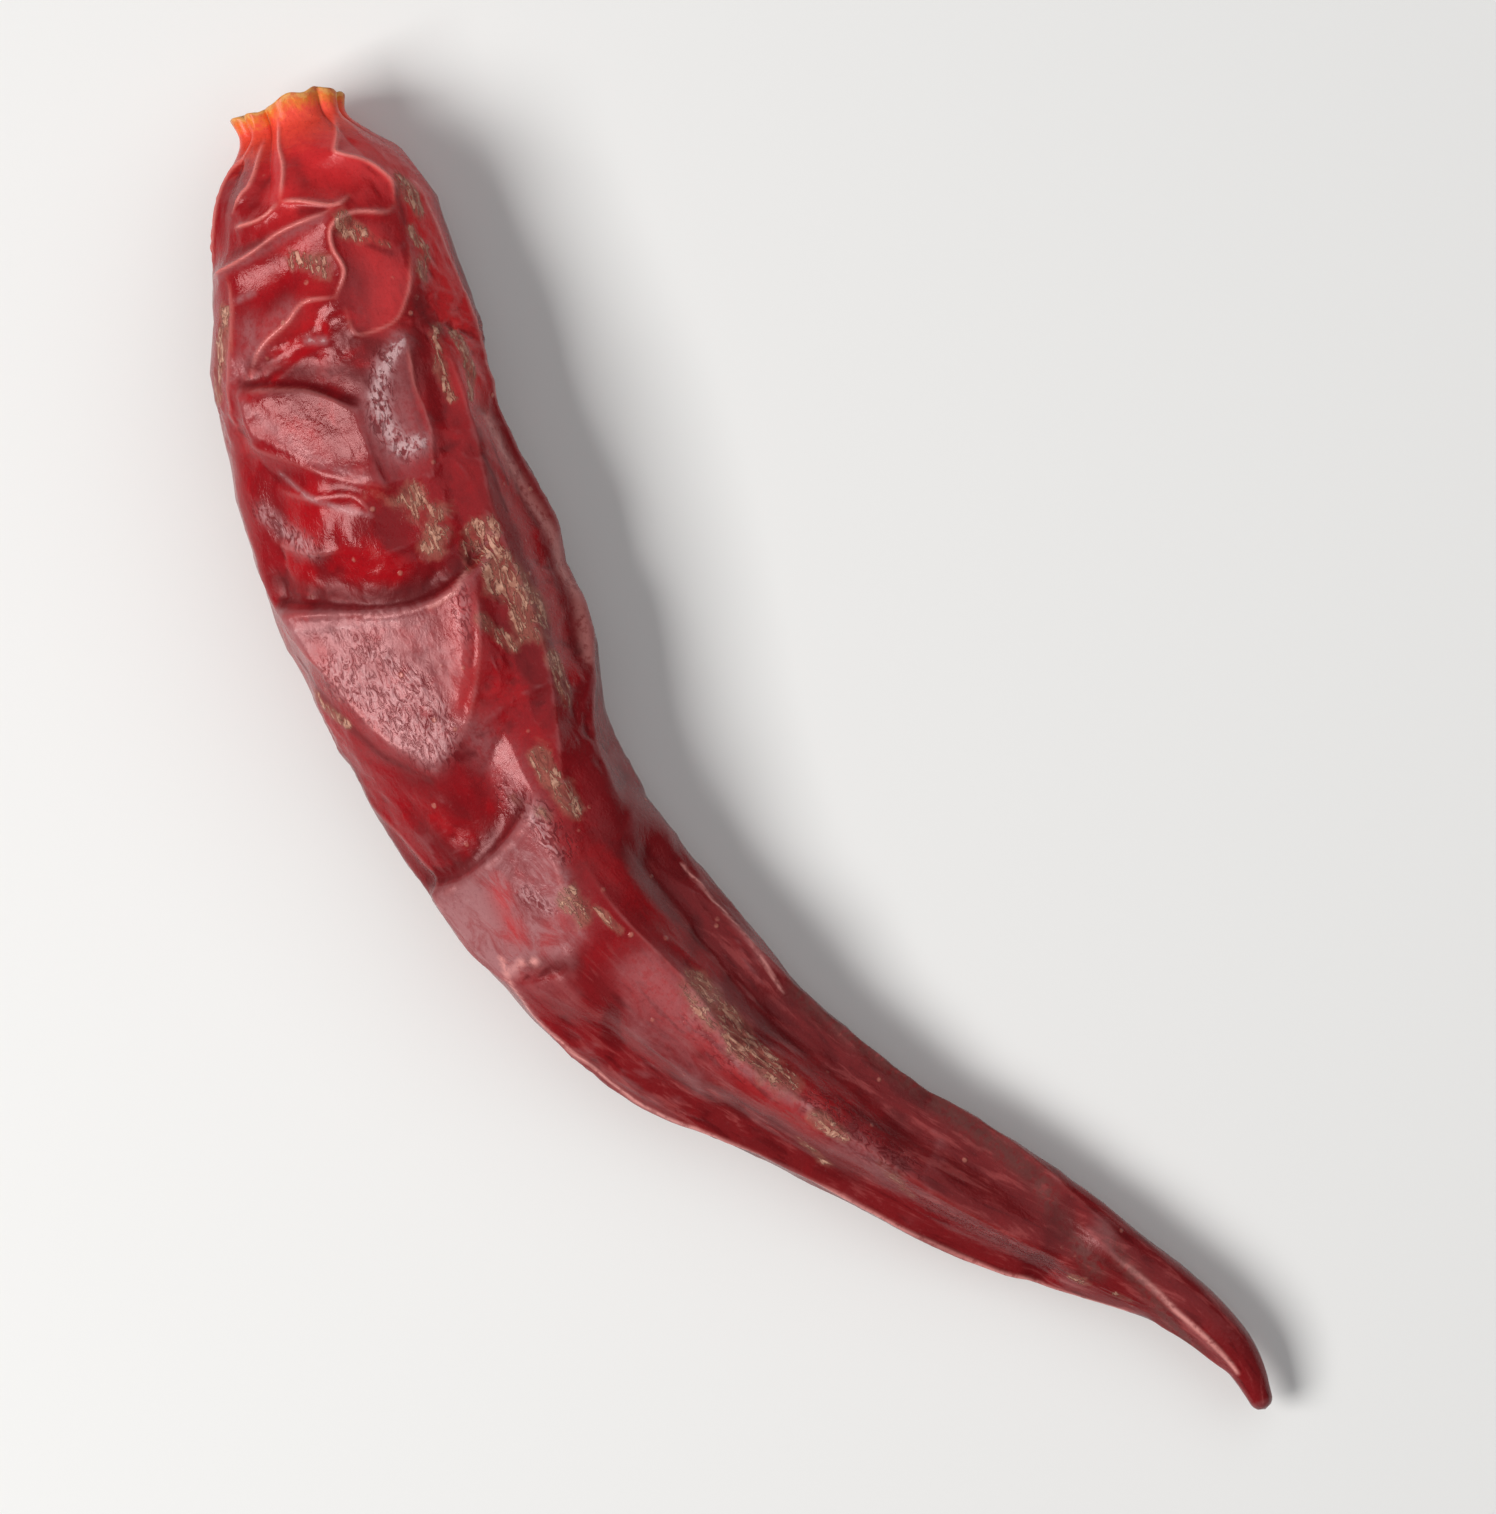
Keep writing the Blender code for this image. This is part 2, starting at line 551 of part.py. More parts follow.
def mouth_lining(share, angle):
    """Points of the pit where the stalk was, from its floor's middle, 0, to the rim's inner edge, 1."""
    start = np.zeros_like(share)
    rim = straight_points(start, angle)
    normal = section_normals(start, angle)
    inward = relief(start, angle) - WALL
    turn = np.pi * np.minimum(share, 0.5)
    spread = np.sin(turn)
    floor = MOUTH_DEPTH - MOUTH_ROUND * (1 - np.cos(turn))
    deep = np.where(share < 0.5, floor, (MOUTH_DEPTH - MOUTH_ROUND) * 2 * (1 - share))
    across = spread * (rim[:, 1] + inward * normal[:, 0])
    up = spread * (rim[:, 2] + inward * normal[:, 1])
    torn = tear(angle) * np.exp(-deep / TEAR_REACH)
    return lay(deep + torn, across, up)


def shape_pod(mesh_points):
    """Moves a unit sphere's points onto the pod: its bottom is the mouth's floor, and its top the tip."""
    rings = MOUTH_RINGS + OUTER_RINGS
    ring = np.rint((1 - np.arccos(np.clip(mesh_points[:, 2], -1, 1)) / math.pi) * rings)
    angle = np.arctan2(mesh_points[:, 0], mesh_points[:, 1])
    in_mouth = ring < MOUTH_RINGS
    placed = np.zeros_like(mesh_points)
    placed[in_mouth] = mouth_lining(ring[in_mouth] / (MOUTH_RINGS - 1), angle[in_mouth])
    outside = ~in_mouth
    share = (ring[outside] - MOUTH_RINGS) / OUTER_RINGS
    station = np.clip(through(RING_SPREAD, share) * MM, 0, LENGTH)
    placed[outside] = outer_skin(station, angle[outside])
    placed[:, 2] = np.maximum(placed[:, 2], REST_CUT)
    return placed


def make_pod(collection):
    """The pod as one closed mesh, standing on the ground plane with its middle over the origin."""
    bm = bmesh.new()
    bmesh.ops.create_uvsphere(bm, u_segments=SEGMENTS, v_segments=MOUTH_RINGS + OUTER_RINGS, radius=1)
    bm.verts.ensure_lookup_table()
    sphere = np.array([v.co for v in bm.verts], float)
    placed = shape_pod(sphere)
    low = placed.min(axis=0)
    high = placed.max(axis=0)
    placed -= np.array([(low[0] + high[0]) / 2, (low[1] + high[1]) / 2, low[2]])
    for vert, point in zip(bm.verts, placed):
        vert.co = point
    bmesh.ops.recalc_face_normals(bm, faces=bm.faces)
    bmesh.ops.triangulate(bm, faces=bm.faces)
    mesh = bpy.data.meshes.new("pod")
    bm.to_mesh(mesh)
    bm.free()
    mesh.shade_smooth()
    pod = bpy.data.objects.new("pod", mesh)
    collection.objects.link(pod)
    return pod


def skin_material():
    material = bpy.data.materials.new("dried_skin")
    material.use_nodes = True
    shader = material.node_tree.nodes["Principled BSDF"]
    shader.inputs["Base Color"].default_value = SKIN_COLOUR
    shader.inputs["Roughness"].default_value = SKIN_ROUGHNESS
    shader.inputs["Metallic"].default_value = 0.0
    return material


def clear_scene():
    for obj in list(bpy.data.objects):
        bpy.data.objects.remove(obj)


def main():
    clear_scene()
    collection = bpy.data.collections.new("dried_chili_pepper")
    bpy.context.scene.collection.children.link(collection)
    pod = make_pod(collection)
    pod.data.materials.append(skin_material())


main()
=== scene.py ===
import math
from dataclasses import dataclass

import bmesh
import bpy
import numpy as np
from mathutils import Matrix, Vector, kdtree, noise


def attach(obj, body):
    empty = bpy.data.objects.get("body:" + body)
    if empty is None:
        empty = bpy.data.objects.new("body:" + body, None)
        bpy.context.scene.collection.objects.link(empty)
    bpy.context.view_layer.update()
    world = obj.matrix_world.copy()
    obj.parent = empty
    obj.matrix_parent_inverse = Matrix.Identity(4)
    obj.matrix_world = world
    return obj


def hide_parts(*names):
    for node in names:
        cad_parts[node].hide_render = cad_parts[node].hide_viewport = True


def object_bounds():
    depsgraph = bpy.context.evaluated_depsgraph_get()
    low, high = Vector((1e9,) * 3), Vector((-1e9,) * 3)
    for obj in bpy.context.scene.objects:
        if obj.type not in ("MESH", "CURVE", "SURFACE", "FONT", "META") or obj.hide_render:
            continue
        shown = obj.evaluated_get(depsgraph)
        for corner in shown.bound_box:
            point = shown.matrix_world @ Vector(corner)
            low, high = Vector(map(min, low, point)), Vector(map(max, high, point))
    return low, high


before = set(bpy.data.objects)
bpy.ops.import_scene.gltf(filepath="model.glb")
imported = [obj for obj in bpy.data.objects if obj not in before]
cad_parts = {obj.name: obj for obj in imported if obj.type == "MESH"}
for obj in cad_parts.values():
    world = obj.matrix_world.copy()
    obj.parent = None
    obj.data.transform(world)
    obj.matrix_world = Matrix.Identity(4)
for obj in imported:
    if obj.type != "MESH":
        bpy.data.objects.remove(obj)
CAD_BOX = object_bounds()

MM = 0.001
TINY = 1e-9

# The driving sizes, along the pod.
LENGTH = 91.7 * MM
TIP_ROUND = 0.6 * MM
WALL = 0.6 * MM
MOUTH_DEPTH = 6.5 * MM
MOUTH_ROUND = 2.6 * MM

# The centre line as the pod lies, seen from above: station, x and y in millimetres.
CENTRE_LINE = (
    (0.0, 0.0, 0.0),
    (7.2, 6.7, -2.5),
    (14.9, 13.6, -6.0),
    (23.4, 21.6, -9.0),
    (31.9, 29.8, -11.1),
    (39.0, 36.8, -12.6),
    (46.1, 43.7, -12.9),
    (54.5, 52.0, -11.7),
    (63.0, 60.1, -9.3),
    (71.4, 67.9, -5.9),
    (79.0, 74.7, -2.6),
    (84.6, 79.9, -0.3),
    (88.4, 83.6, 0.3),
    (91.7, 86.7, -0.3),
)
# How far apart the two places are that give its direction.
LINE_STEP = 0.3 * MM
# Half the pod's width seen from above, by station, both in millimetres.
HALF_WIDTH = (
    (0.0, 3.0), (1.4, 3.05), (2.6, 3.8), (4.0, 4.9), (6.0, 5.75), (8.0, 6.2), (12.0, 6.95),
    (20.0, 7.7), (25.0, 7.85), (31.0, 7.35), (37.0, 6.6), (46.0, 6.1), (53.0, 5.7), (58.0, 4.75),
    (64.0, 3.75), (73.0, 3.5), (78.0, 2.80), (82.0, 1.95), (88.0, 1.10), (91.7, 0.50),
)
# Half its thickness from the surface that it lies on to its top.
HALF_HEIGHT = (
    (0.0, 2.0), (1.4, 2.1), (4.0, 4.2), (8.0, 5.2), (20.0, 5.9), (31.0, 5.5), (46.0, 4.9),
    (57.0, 4.0), (66.0, 3.2), (75.0, 2.6), (82.0, 1.6), (88.0, 1.05), (91.7, 0.55),
)
# How high the centre line runs. The belly and the tail's root rest, and the neck and the tip stand
# clear.
CENTRE_HEIGHT = (
    (0.0, 5.5), (9.0, 5.6), (20.0, 6.0), (31.0, 5.6), (46.0, 5.1), (57.0, 4.3), (66.0, 3.5),
    (75.0, 2.75), (84.0, 3.3), (91.7, 2.6),
)
# How far the section is turned about the centre line, in degrees.
TWIST = ((0.0, 0.0), (30.0, 0.0), (60.0, -8.0), (80.0, -25.0), (91.7, -40.0))
# The section is an ellipse at 1, fuller below that, and above it has a roof ridge and two keels.
CORNERS = (
    (0.0, 0.92), (12.0, 0.95), (34.0, 1.0), (46.0, 1.12), (58.0, 1.28), (76.0, 1.25), (84.0, 1.0),
    (91.7, 1.0),
)

# The pleats that draw the neck together: each valley's angle in degrees and its depth in
# millimetres.
PLEATS = (
    (-62, 0.55), (-24, 0.85), (36, 0.28), (74, 0.45), (118, 0.65), (158, 0.75), (196, 0.60),
    (240, 0.80),
)
# How wide the valleys are, how far the pleats between them swell, and how far down the neck they
# reach.
PLEAT_WIDTH = 0.75 * MM
PLEAT_SWELL = 0.30 * MM
PLEAT_REACH = 3.6 * MM
# The torn rim: how ragged its edge is, and how far down the wall follows it.
TEAR_HEIGHT = 0.55 * MM
TEAR_REACH = 1.6 * MM
# The waves that its edge is made of: how many go round, where each starts and its share.
TEAR_WAVES = ((2, 1.6, 0.34), (3, 0.0, 0.30), (9, 1.7, 0.14), (14, 0.5, 0.10))
# How far the rim turns out, and over what distance.
RIM_TURN_OUT = 0.30 * MM
RIM_REACH = 0.9 * MM

# Where the middle of the torn rim lies in the frame.
RIM_PLACE = (-42.804 * MM, 7.992 * MM, -0.35 * MM)

# The mesh: how closely the rings follow each other, as share of the outer rings and the station
# that they reach.
RING_SPREAD = ((0.0, 0.0), (0.42, 20.0), (0.76, 50.0), (0.965, 89.4), (1.0, 91.7))
SEGMENTS = 240
MOUTH_RINGS = 18
OUTER_RINGS = 388
# Over how many rounds of its neighbours a point's surroundings are evened out.
SURROUNDINGS = 14
# How much closer the segments stand on top of the pod than evenly spread ones.
TOP_CROWDING = 0.42
# What the folds' crests are rounded by, and the thin welt along each.
CREST_SOFTNESS = 0.10 * MM
WELT = 0.15 * MM
WELT_WIDTH = 0.105 * MM
# The widest fold whose crest is fully sharp, in millimetres, and the sharpness of the widest.
SHARP_WIDTH = 0.55
LEAST_SHARP = 0.2
# Where along the pod the welts sink away, from and to, and what is left of them there.
WELTS_FROM = 12.0 * MM
WELTS_TO = 18.0 * MM
WELTS_LEFT = 0.30
# How wide the painted highlight line along a crest is, and what is left of it at its ends.
CREST_WIDTH = 0.105 * MM
LEAST_CREST = 0.2
# How many places of a fold's smooth line are worked out for each of its points.
STEPS_A_POINT = 6
# What the pit's mark comes to at its rim, from 1 at its floor.
PIT_AT_RIM = 0.4


# Each fold is a row of its rise and width in millimetres and the points of (station, angle) that
# its line runs through. A hollow is a fold that sinks.
#
# The creases that run down from the drawn neck and meet each other over the shoulder.
NECK_FOLDS = (
    (0.30, 0.50, (0.6, -10), (2.0, -14), (3.6, -12), (5.3, -16)),
    (0.30, 0.50, (5.3, -16), (5.9, -29), (5.9, -50)),
    (0.32, 0.50, (5.3, -16), (5.6, -6), (6.3, 8), (6.0, 17)),
    (0.34, 0.55, (1.5, 46), (3.3, 22), (3.8, 23), (4.6, 36), (5.8, 43), (6.9, 40)),
    (0.46, 0.60, (6.9, 40), (7.2, 32), (6.9, 16), (7.3, 5), (8.4, 3), (9.7, 6), (11.0, 1)),
    (0.46, 0.75, (11.0, 1), (11.0, -12), (11.9, -21), (12.8, -35), (14.4, -49)),
    (0.32, 1.10, (11.7, 4), (13.0, 6), (13.1, 13), (12.4, 27), (9.7, 39), (8.8, 42)),
    (0.55, 0.70, (8.6, -76), (8.0, -45), (7.0, -19), (6.6, 2), (6.3, 10)),
    (0.34, 0.60, (0.8, -44), (1.7, -50), (2.7, -74), (4.7, -72), (8.0, -78)),
    (0.28, 0.50, (1.6, -32), (3.6, -36), (4.2, -43), (5.0, -53)),
    (0.26, 1.20, (8.6, -56), (11.0, -54), (14.2, -58), (17.0, -62)),
)
# The edges of the broad panels over the belly, and the lengthwise ridge on their far side.
BELLY_FOLDS = (
    (0.26, 0.60, (14.6, -50), (15.0, -30), (15.6, -14), (17.0, 0)),
    (0.34, 0.50, (17.0, -56), (18.6, -32), (20.0, -14), (21.4, 4)),
    (0.22, 0.60, (14.0, 27), (16.4, 25), (19.0, 26), (21.6, 20)),
    (0.24, 0.45, (19.6, -46), (20.6, -28), (21.2, -10), (22.8, -4)),
    (0.42, 0.45, (25.0, -70), (26.5, -34), (27.5, -14), (27.8, 2), (27.6, 12), (26.6, 24)),
    (0.30, 0.60, (25.6, -68), (29.2, -50), (32.8, -41), (35.8, -24)),
    (0.26, 0.60, (27.6, 22), (30.8, 14), (33.6, 2), (35.4, -14)),
    (0.34, 0.50, (40.6, -76), (41.3, -48), (41.0, -20), (40.2, 4), (39.4, 13)),
    (0.30, 0.60, (42.6, -80), (45.0, -70), (46.1, -60), (46.8, -36), (46.9, -22)),
    (0.24, 0.60, (39.6, 12), (42.0, 9), (44.6, -3), (46.6, -8)),
    (0.24, 0.45, (22.0, -60), (23.2, -36), (23.6, -22)),
    (0.42, 1.20, (13.0, 44), (18.0, 46), (24.2, 40), (28.8, 40), (31.3, 41), (35.8, 36),
     (42.9, 17)),
    (0.42, 0.80, (8.0, 70), (15.0, 72), (21.5, 73), (27.9, 80), (33.0, 75), (37.0, 58), (42.0, 52)),
    (0.26, 0.80, (35.4, -86), (37.9, -72), (40.4, -66), (43.0, -74)),
)
# The tail's roof ridge and its two keels.
TAIL_FOLDS = (
    (0.50, 0.90, (42.9, 17), (46.8, 15), (52.9, 17), (57.6, 3), (62.5, 9), (70.0, 2), (78.0, -4)),
    (0.42, 0.60, (46.1, -60), (50.5, -76), (54.1, -82), (59.4, -68), (65.5, -58), (74.3, -60),
     (81.9, -52)),
    (0.34, 0.60, (49.0, 70), (54.0, 66), (59.2, 78), (66.8, 84), (72.3, 80), (79.1, 60)),
    (0.22, 0.50, (77.0, 50), (80.2, 32), (84.0, 8), (89.0, 0)),
    (0.16, 0.40, (83.0, -46), (86.0, -40), (89.0, -30)),
)
FOLDS = NECK_FOLDS + BELLY_FOLDS + TAIL_FOLDS
# The hollows beside them, where the wall has sunk in.
HOLLOWS = (
    (-0.35, 1.10, (3.4, -4), (4.6, 6)),
    (-0.30, 0.70, (4.0, -26), (5.0, -32)),
    (-0.40, 1.50, (9.2, -20), (10.2, -34)),
    (-0.35, 0.90, (12.6, -10), (13.4, -28), (14.4, -46)),
    (-0.25, 1.20, (22.0, -50), (24.2, -36), (25.4, -14)),
    (-0.25, 1.60, (37.0, -50), (38.4, -34), (39.0, -14)),
    (-0.30, 1.20, (49.6, -56), (51.0, -40)),
    (-0.45, 1.40, (19.0, 60), (26.0, 62), (33.0, 60)),
    (-0.60, 1.50, (46.0, 52), (56.0, 46), (68.0, 44), (76.0, 40)),
    (-0.50, 1.40, (52.0, -46), (58.0, -40), (68.0, -34), (76.0, -36)),
)
# A fold fades over this share of its length at both ends, to this share of its rise.
FADE_LENGTH = 0.18
FADED_RISE = 0.30


@dataclass
class Step:
    """An edge across the pod that the skin steps up over, after sagging towards it.

    The edge runs through points of (angle, station). It is drop high, and on the neck's side the
    sag reaches back by reach.
    """

    points: tuple
    drop: float
    reach: float


STEPS = (
    Step(((-56, 14.7), (-30, 15.3), (-14, 15.8), (0, 16.9), (8, 17.6)), 0.50, 1.5),
    Step(((-76, 25.0), (-45, 26.0), (-25, 27.0), (-8, 27.7), (5, 27.9), (20, 27.4), (36, 26.2)),
          0.90, 3.0),
    Step(((-86, 40.9), (-66, 41.0), (-46, 41.3), (-20, 41.0), (0, 40.2), (12, 39.4)), 0.70, 2.6),
    Step(((-64, 46.6), (-46, 47.4), (-26, 48.0)), 0.45, 1.1),
)
# How long the wall of a step is, and over what angle it fades out at its ends, in degrees.
STEP_WALL = 0.55
STEP_FADE = 10.0


@dataclass
class Panel:
    """A taut, nearly flat panel of the wall, how flat it is, and how much painted highlight it
    carries.

    Its corners are (station, angle, rise off the smooth pod), in millimetres and degrees.
    """

    corners: tuple
    flat: float
    painted_sheen: float


TAUT_PANELS = (
    Panel(((14.9, -50, 0.15), (15.6, -20, 0.10), (17.0, 0, 0.15), (21.0, 2, 0.30),
           (19.3, -20, 0.30), (16.8, -48, 0.25)), 0.80, 0.0),
    Panel(((14.2, 24, 0.20), (15.4, 6, 0.20), (17.9, 2, 0.20), (21.0, 5, 0.25), (21.4, 19, 0.25)),
           0.60, 0.12),
    Panel(((25.6, -62, 0.15), (26.5, -34, 0.05), (27.8, 2, 0.20), (27.5, 20, 0.35),
           (30.6, 9, 0.30), (34.6, -9, 0.25), (35.7, -24, 0.25), (32.6, -42, 0.25),
           (29.0, -52, 0.25)), 0.80, 0.60),
    Panel(((41.2, -68, 0.20), (41.3, -46, 0.10), (41.0, -18, 0.10), (40.0, 10, 0.25),
           (44.0, 4, 0.15), (46.8, -10, 0.15), (46.8, -36, 0.20), (46.0, -60, 0.30),
           (43.4, -74, 0.20)), 0.75, 0.95),
    Panel(((49.4, -8, 0.15), (50.2, 14, 0.25), (55.0, 10, 0.25), (57.4, 0, 0.20),
           (56.0, -30, 0.05), (52.0, -28, 0.05)), 0.60, 0.25),
    Panel(((9.2, 9, 0.20), (8.9, 36, 0.25), (11.2, 35, 0.20), (13.0, 18, 0.20), (12.6, 9, 0.25)),
           0.60, 0.10),
)
# How soon the skin turns away from a panel's edge.
PANEL_EDGE = 0.60 * MM
# How far a panel can stand proud, and the least that the skin under it counts as facing its way.
PANEL_PROUD = 0.42 * MM
LEAST_FACING = 0.4


@dataclass
class Cells:
    """A net of shallow dished panels between rounded crests over the whole skin, in millimetres."""

    length: float
    width: float
    depth: float
    crest: float
    rounding: float
    seed: int


PANELS = Cells(length=10.0, width=7.5, depth=0.62, crest=1.60, rounding=0.80, seed=11)
PUCKERS = Cells(length=3.6, width=2.6, depth=0.17, crest=0.60, rounding=0.10, seed=5)
# The panels run lengthwise: along the pod a millimetre counts for this much less.
PANEL_STRETCH = 0.62
# The shallowest panel against the deepest.
LEAST_DEPTH = 0.35
# How far the middles stray from even rows, round the pod and along it, in steps between them.
STRAY_ROUND = 0.32
STRAY_ALONG = 0.35
# How many of the nearest middles can border a panel at one place.
NEAR_CELLS = 6
# How far the cells' edges wander, and over what distance.
WANDER = 1.6 * MM
WANDER_SCALE = 5.0 * MM
# Blender's vector noise starts from the clock, so it is set to this before each use.
WANDER_SEED = 7
# Broad swells and dents, stretched along the pod like the panels.
SWELL = 0.45 * MM
SWELL_SCALE = 8.0 * MM
# The section that carries the relief in full; thinner ones carry less of it.
FULL_GIRTH = 7.0 * MM
LEAST_GIRTH = 0.12
# How far down from the rim the neck's own creases crowd the panels out.
NECK_REACH = 13.0 * MM
NECK_CALMS = 0.65
# Where the small puckers gather: everywhere a little, more at the neck and in patches.
PUCKER_EVERYWHERE = 0.35
PUCKER_AT_NECK = 0.45
PUCKER_IN_PATCHES = 0.90
LEAST_PUCKERED = 0.05
MOST_PUCKERED = 1.3
PATCH_SCALE = 9.0 * MM
# Nothing sinks or rises by more than this share of the half width, so the neck and tail hold
# together.
MOST_RELIEF = 0.42

# The skin sags to this height where it rests, which leaves small flat spots there.
REST_CUT = 0.35 * MM
# The belly's resting stretch, where the relief fades out: station from and to, and half its angle.
REST_FROM = 12.0 * MM
REST_TO = 34.0 * MM
REST_HALF_ANGLE = math.radians(38.0)
REST_BLEND = 4.0 * MM
REST_EDGE = 1.6

# The crumple between the folds, of flat faces with sharp edges: how high, and how far across a face
# is.
CRUMPLE = 0.24 * MM
CRUMPLE_SCALE = 3.2 * MM
CRUMPLE_SEED = 3
SMALL_CRUMPLE = 0.092 * MM
SMALL_CRUMPLE_SCALE = 1.25 * MM
SMALL_CRUMPLE_SEED = 8
# What a panel keeps of the crumple, and what lengthwise wrinkles and the resting spot take of it.
CRUMPLE_ON_PANELS = 0.25
LINES_CALM_CRUMPLE = 0.5
LINES_CALM_CRINKLE = 0.75
RESTING_CALMS = 0.7
# The least that a thin section carries of it.
LEAST_FINE_GIRTH = 0.25
# The crumple is read in axes turned against the pod's, so that its edges follow no direction of the
# pod.
CRUMPLE_TURN = ((0.80, 0.36, -0.48), (-0.60, 0.48, -0.64), (0.0, 0.80, 0.60))
# How many heights are drawn, and the steps that choose one for each corner of the grid.
CRUMPLE_VALUES = 4093
CRUMPLE_STEPS = (73856093, 19349663, 83492791)
# Small wrinkles: how high, how far apart, and how far apart the patches that carry them.
CRINKLE = 0.09 * MM
CRINKLE_SCALE = 1.4 * MM
CRINKLE_PATCH = 6.0 * MM
PATCH_MIDDLE = 0.5
PATCH_CONTRAST = 1.6
LEAST_PATCHED = 0.08
# How narrow the crests of a ridged noise are.
RIDGED_GAIN = 2.2
# Their finer companions.
FINE_CRINKLE = 0.045 * MM
FINE_SCALE = 0.6 * MM
# Lengthwise wrinkles at the neck and on the tail, drawn out along the pod.
LINES = 0.09 * MM
LINES_SCALE = 1.2 * MM
LINES_STRETCH = 0.16
LINES_NECK_REACH = 7.0 * MM
LINES_TAIL_FROM = 44.0 * MM
LINES_TAIL_BLEND = 10.0 * MM


# What the skin carries besides its form, and the painted light and shade, by name. Each marking is
# its width in millimetres, its strength, and the points of (station, angle) that it runs along.
MARKS = {}
# Corky flecks, in clusters.
MARKS["scar"] = (
    (0.70, 1.0, (5.8, 52), (7.2, 57)),
    (0.60, 1.0, (7.3, 10), (8.1, 18)),
    (0.35, 0.8, (8.2, 22), (8.8, 30)),
    (0.75, 1.0, (8.6, -15), (9.4, -2)),
    (0.50, 0.8, (8.2, 47), (9.2, 54), (10.4, 46)),
    (0.55, 0.9, (13.4, 44), (15.4, 40), (17.6, 40)),
    (0.45, 1.0, (14.1, 54), (16.3, 57), (17.8, 50)),
    (0.90, 0.9, (11.0, -62), (12.8, -66), (14.2, -76)),
    (0.60, 0.5, (20.8, -55), (21.6, -50)),
    (1.35, 0.72, (22.3, 9), (23.6, 17), (24.8, 14)),
    (1.25, 0.95, (25.2, 33), (27.4, 33), (29.0, 37), (31.0, 41)),
    (0.60, 0.8, (25.6, 24), (26.8, 22)),
    (0.60, 0.9, (29.8, 19), (31.5, 27)),
    (0.60, 1.0, (33.0, 44), (35.4, 46)),
    (0.65, 1.0, (37.4, 21), (39.4, 24), (41.0, 27)),
    (0.40, 0.6, (38.6, 2), (40.6, 12)),
    (0.75, 1.0, (44.8, -2), (45.8, 0)),
    (0.30, 0.8, (46.4, 8), (48.0, 10)),
    (1.05, 1.0, (52.8, 19), (55.0, 18), (57.0, 17), (59.8, 14)),
    (0.50, 0.9, (62.2, 2), (64.2, 6)),
    (0.45, 0.8, (62.4, -32), (64.2, -42)),
    (0.70, 0.6, (66.4, -8), (68.4, -22)),
    (0.40, 0.9, (78.4, -24), (79.0, -22)),
    (0.40, 0.9, (80.6, -20), (81.4, -18)),
    (0.45, 0.9, (29.7, -74), (31.7, -56)),
    (1.20, 0.9, (22.0, 168), (31.0, 150)),
    (1.00, 0.8, (12.0, -140), (20.0, -122)),
    (0.80, 0.8, (20.0, 112), (27.0, 120)),
    (0.90, 0.8, (38.0, -128), (44.0, -116)),
    (0.90, 0.8, (47.0, 128), (58.0, 140)),
    (0.70, 0.7, (66.0, 170), (73.0, -172)),
)
# Painted highlight: a pale pink sheen along edges, where the skin is stretched thin over a fold.
MARKS["painted_sheen"] = (
    (0.42, 0.75, (26.3, -58), (27.2, -34), (27.9, -12)),
    (0.70, 0.62, (30.4, -40), (32.8, -32), (34.8, -22)),
    (0.60, 0.70, (41.6, -62), (42.0, -50)),
    (0.40, 0.50, (15.6, -46), (17.2, -33), (18.9, -20), (20.4, -5)),
    (0.62, 1.00, (13.9, 24), (15.3, 14), (16.6, 9)),
    (0.95, 0.95, (16.6, 9), (18.0, 9), (19.4, 12)),
    (0.75, 1.00, (19.6, 12), (19.5, 20)),
    (0.95, 0.42, (15.4, 17), (18.6, 17)),
    (0.85, 0.50, (11.9, -44), (12.8, -40), (13.8, -52)),
    (0.22, 0.85, (12.9, -14), (13.1, -6)),
    (0.22, 0.60, (10.2, -50), (10.0, -42)),
    (0.55, 0.70, (20.6, -58), (21.8, -50), (22.8, -38)),
    (0.14, 0.85, (18.9, -42), (20.6, -28), (22.0, -12)),
    (0.12, 0.75, (19.9, -34), (21.2, -20), (22.4, -6)),
    (0.30, 0.50, (8.8, -70), (8.1, -42), (7.2, -14), (6.8, 1)),
    (0.60, 0.40, (11.2, -20), (12.2, -36), (13.9, -52)),
    (1.00, 0.45, (34.9, -1), (37.2, 6), (39.6, 6)),
    (0.40, 0.60, (52.9, 15), (57.6, 2), (62.5, 9)),
    (1.30, 0.40, (50.5, 4), (54.0, 2)),
    (0.90, 0.35, (64.5, 2), (67.0, -8)),
    (0.20, 0.60, (84.0, -50), (86.0, -46), (89.0, -34)),
)
# Thin cream lines where the wall is creased to an edge, partly painted highlight on those edges and
# on a band of the shaded flank.
MARKS["light"] = (
    (0.42, 0.42, (19.0, 60), (21.6, 63), (24.4, 68), (27.3, 73), (30.5, 75), (33.6, 70)),
    (0.10, 0.5, (6.0, 66), (9.0, 72), (13.0, 73), (18.0, 72)),
    (0.11, 0.9, (46.1, -60), (47.9, -70), (51.4, -74), (54.4, -78), (59.4, -68), (65.5, -58),
     (74.3, -60), (81.9, -52)),
    (0.12, 0.8, (45.2, -56), (46.1, -60), (46.0, -48), (46.4, -40)),
    (0.085, 0.8, (47.6, 71), (51.2, 69), (55.2, 64), (56.9, 63)),
    (0.11, 0.9, (80.2, 34), (84.0, 10), (89.0, 0)),
    (0.12, 0.6, (28.0, 2), (27.8, 12), (27.0, 20)),
)
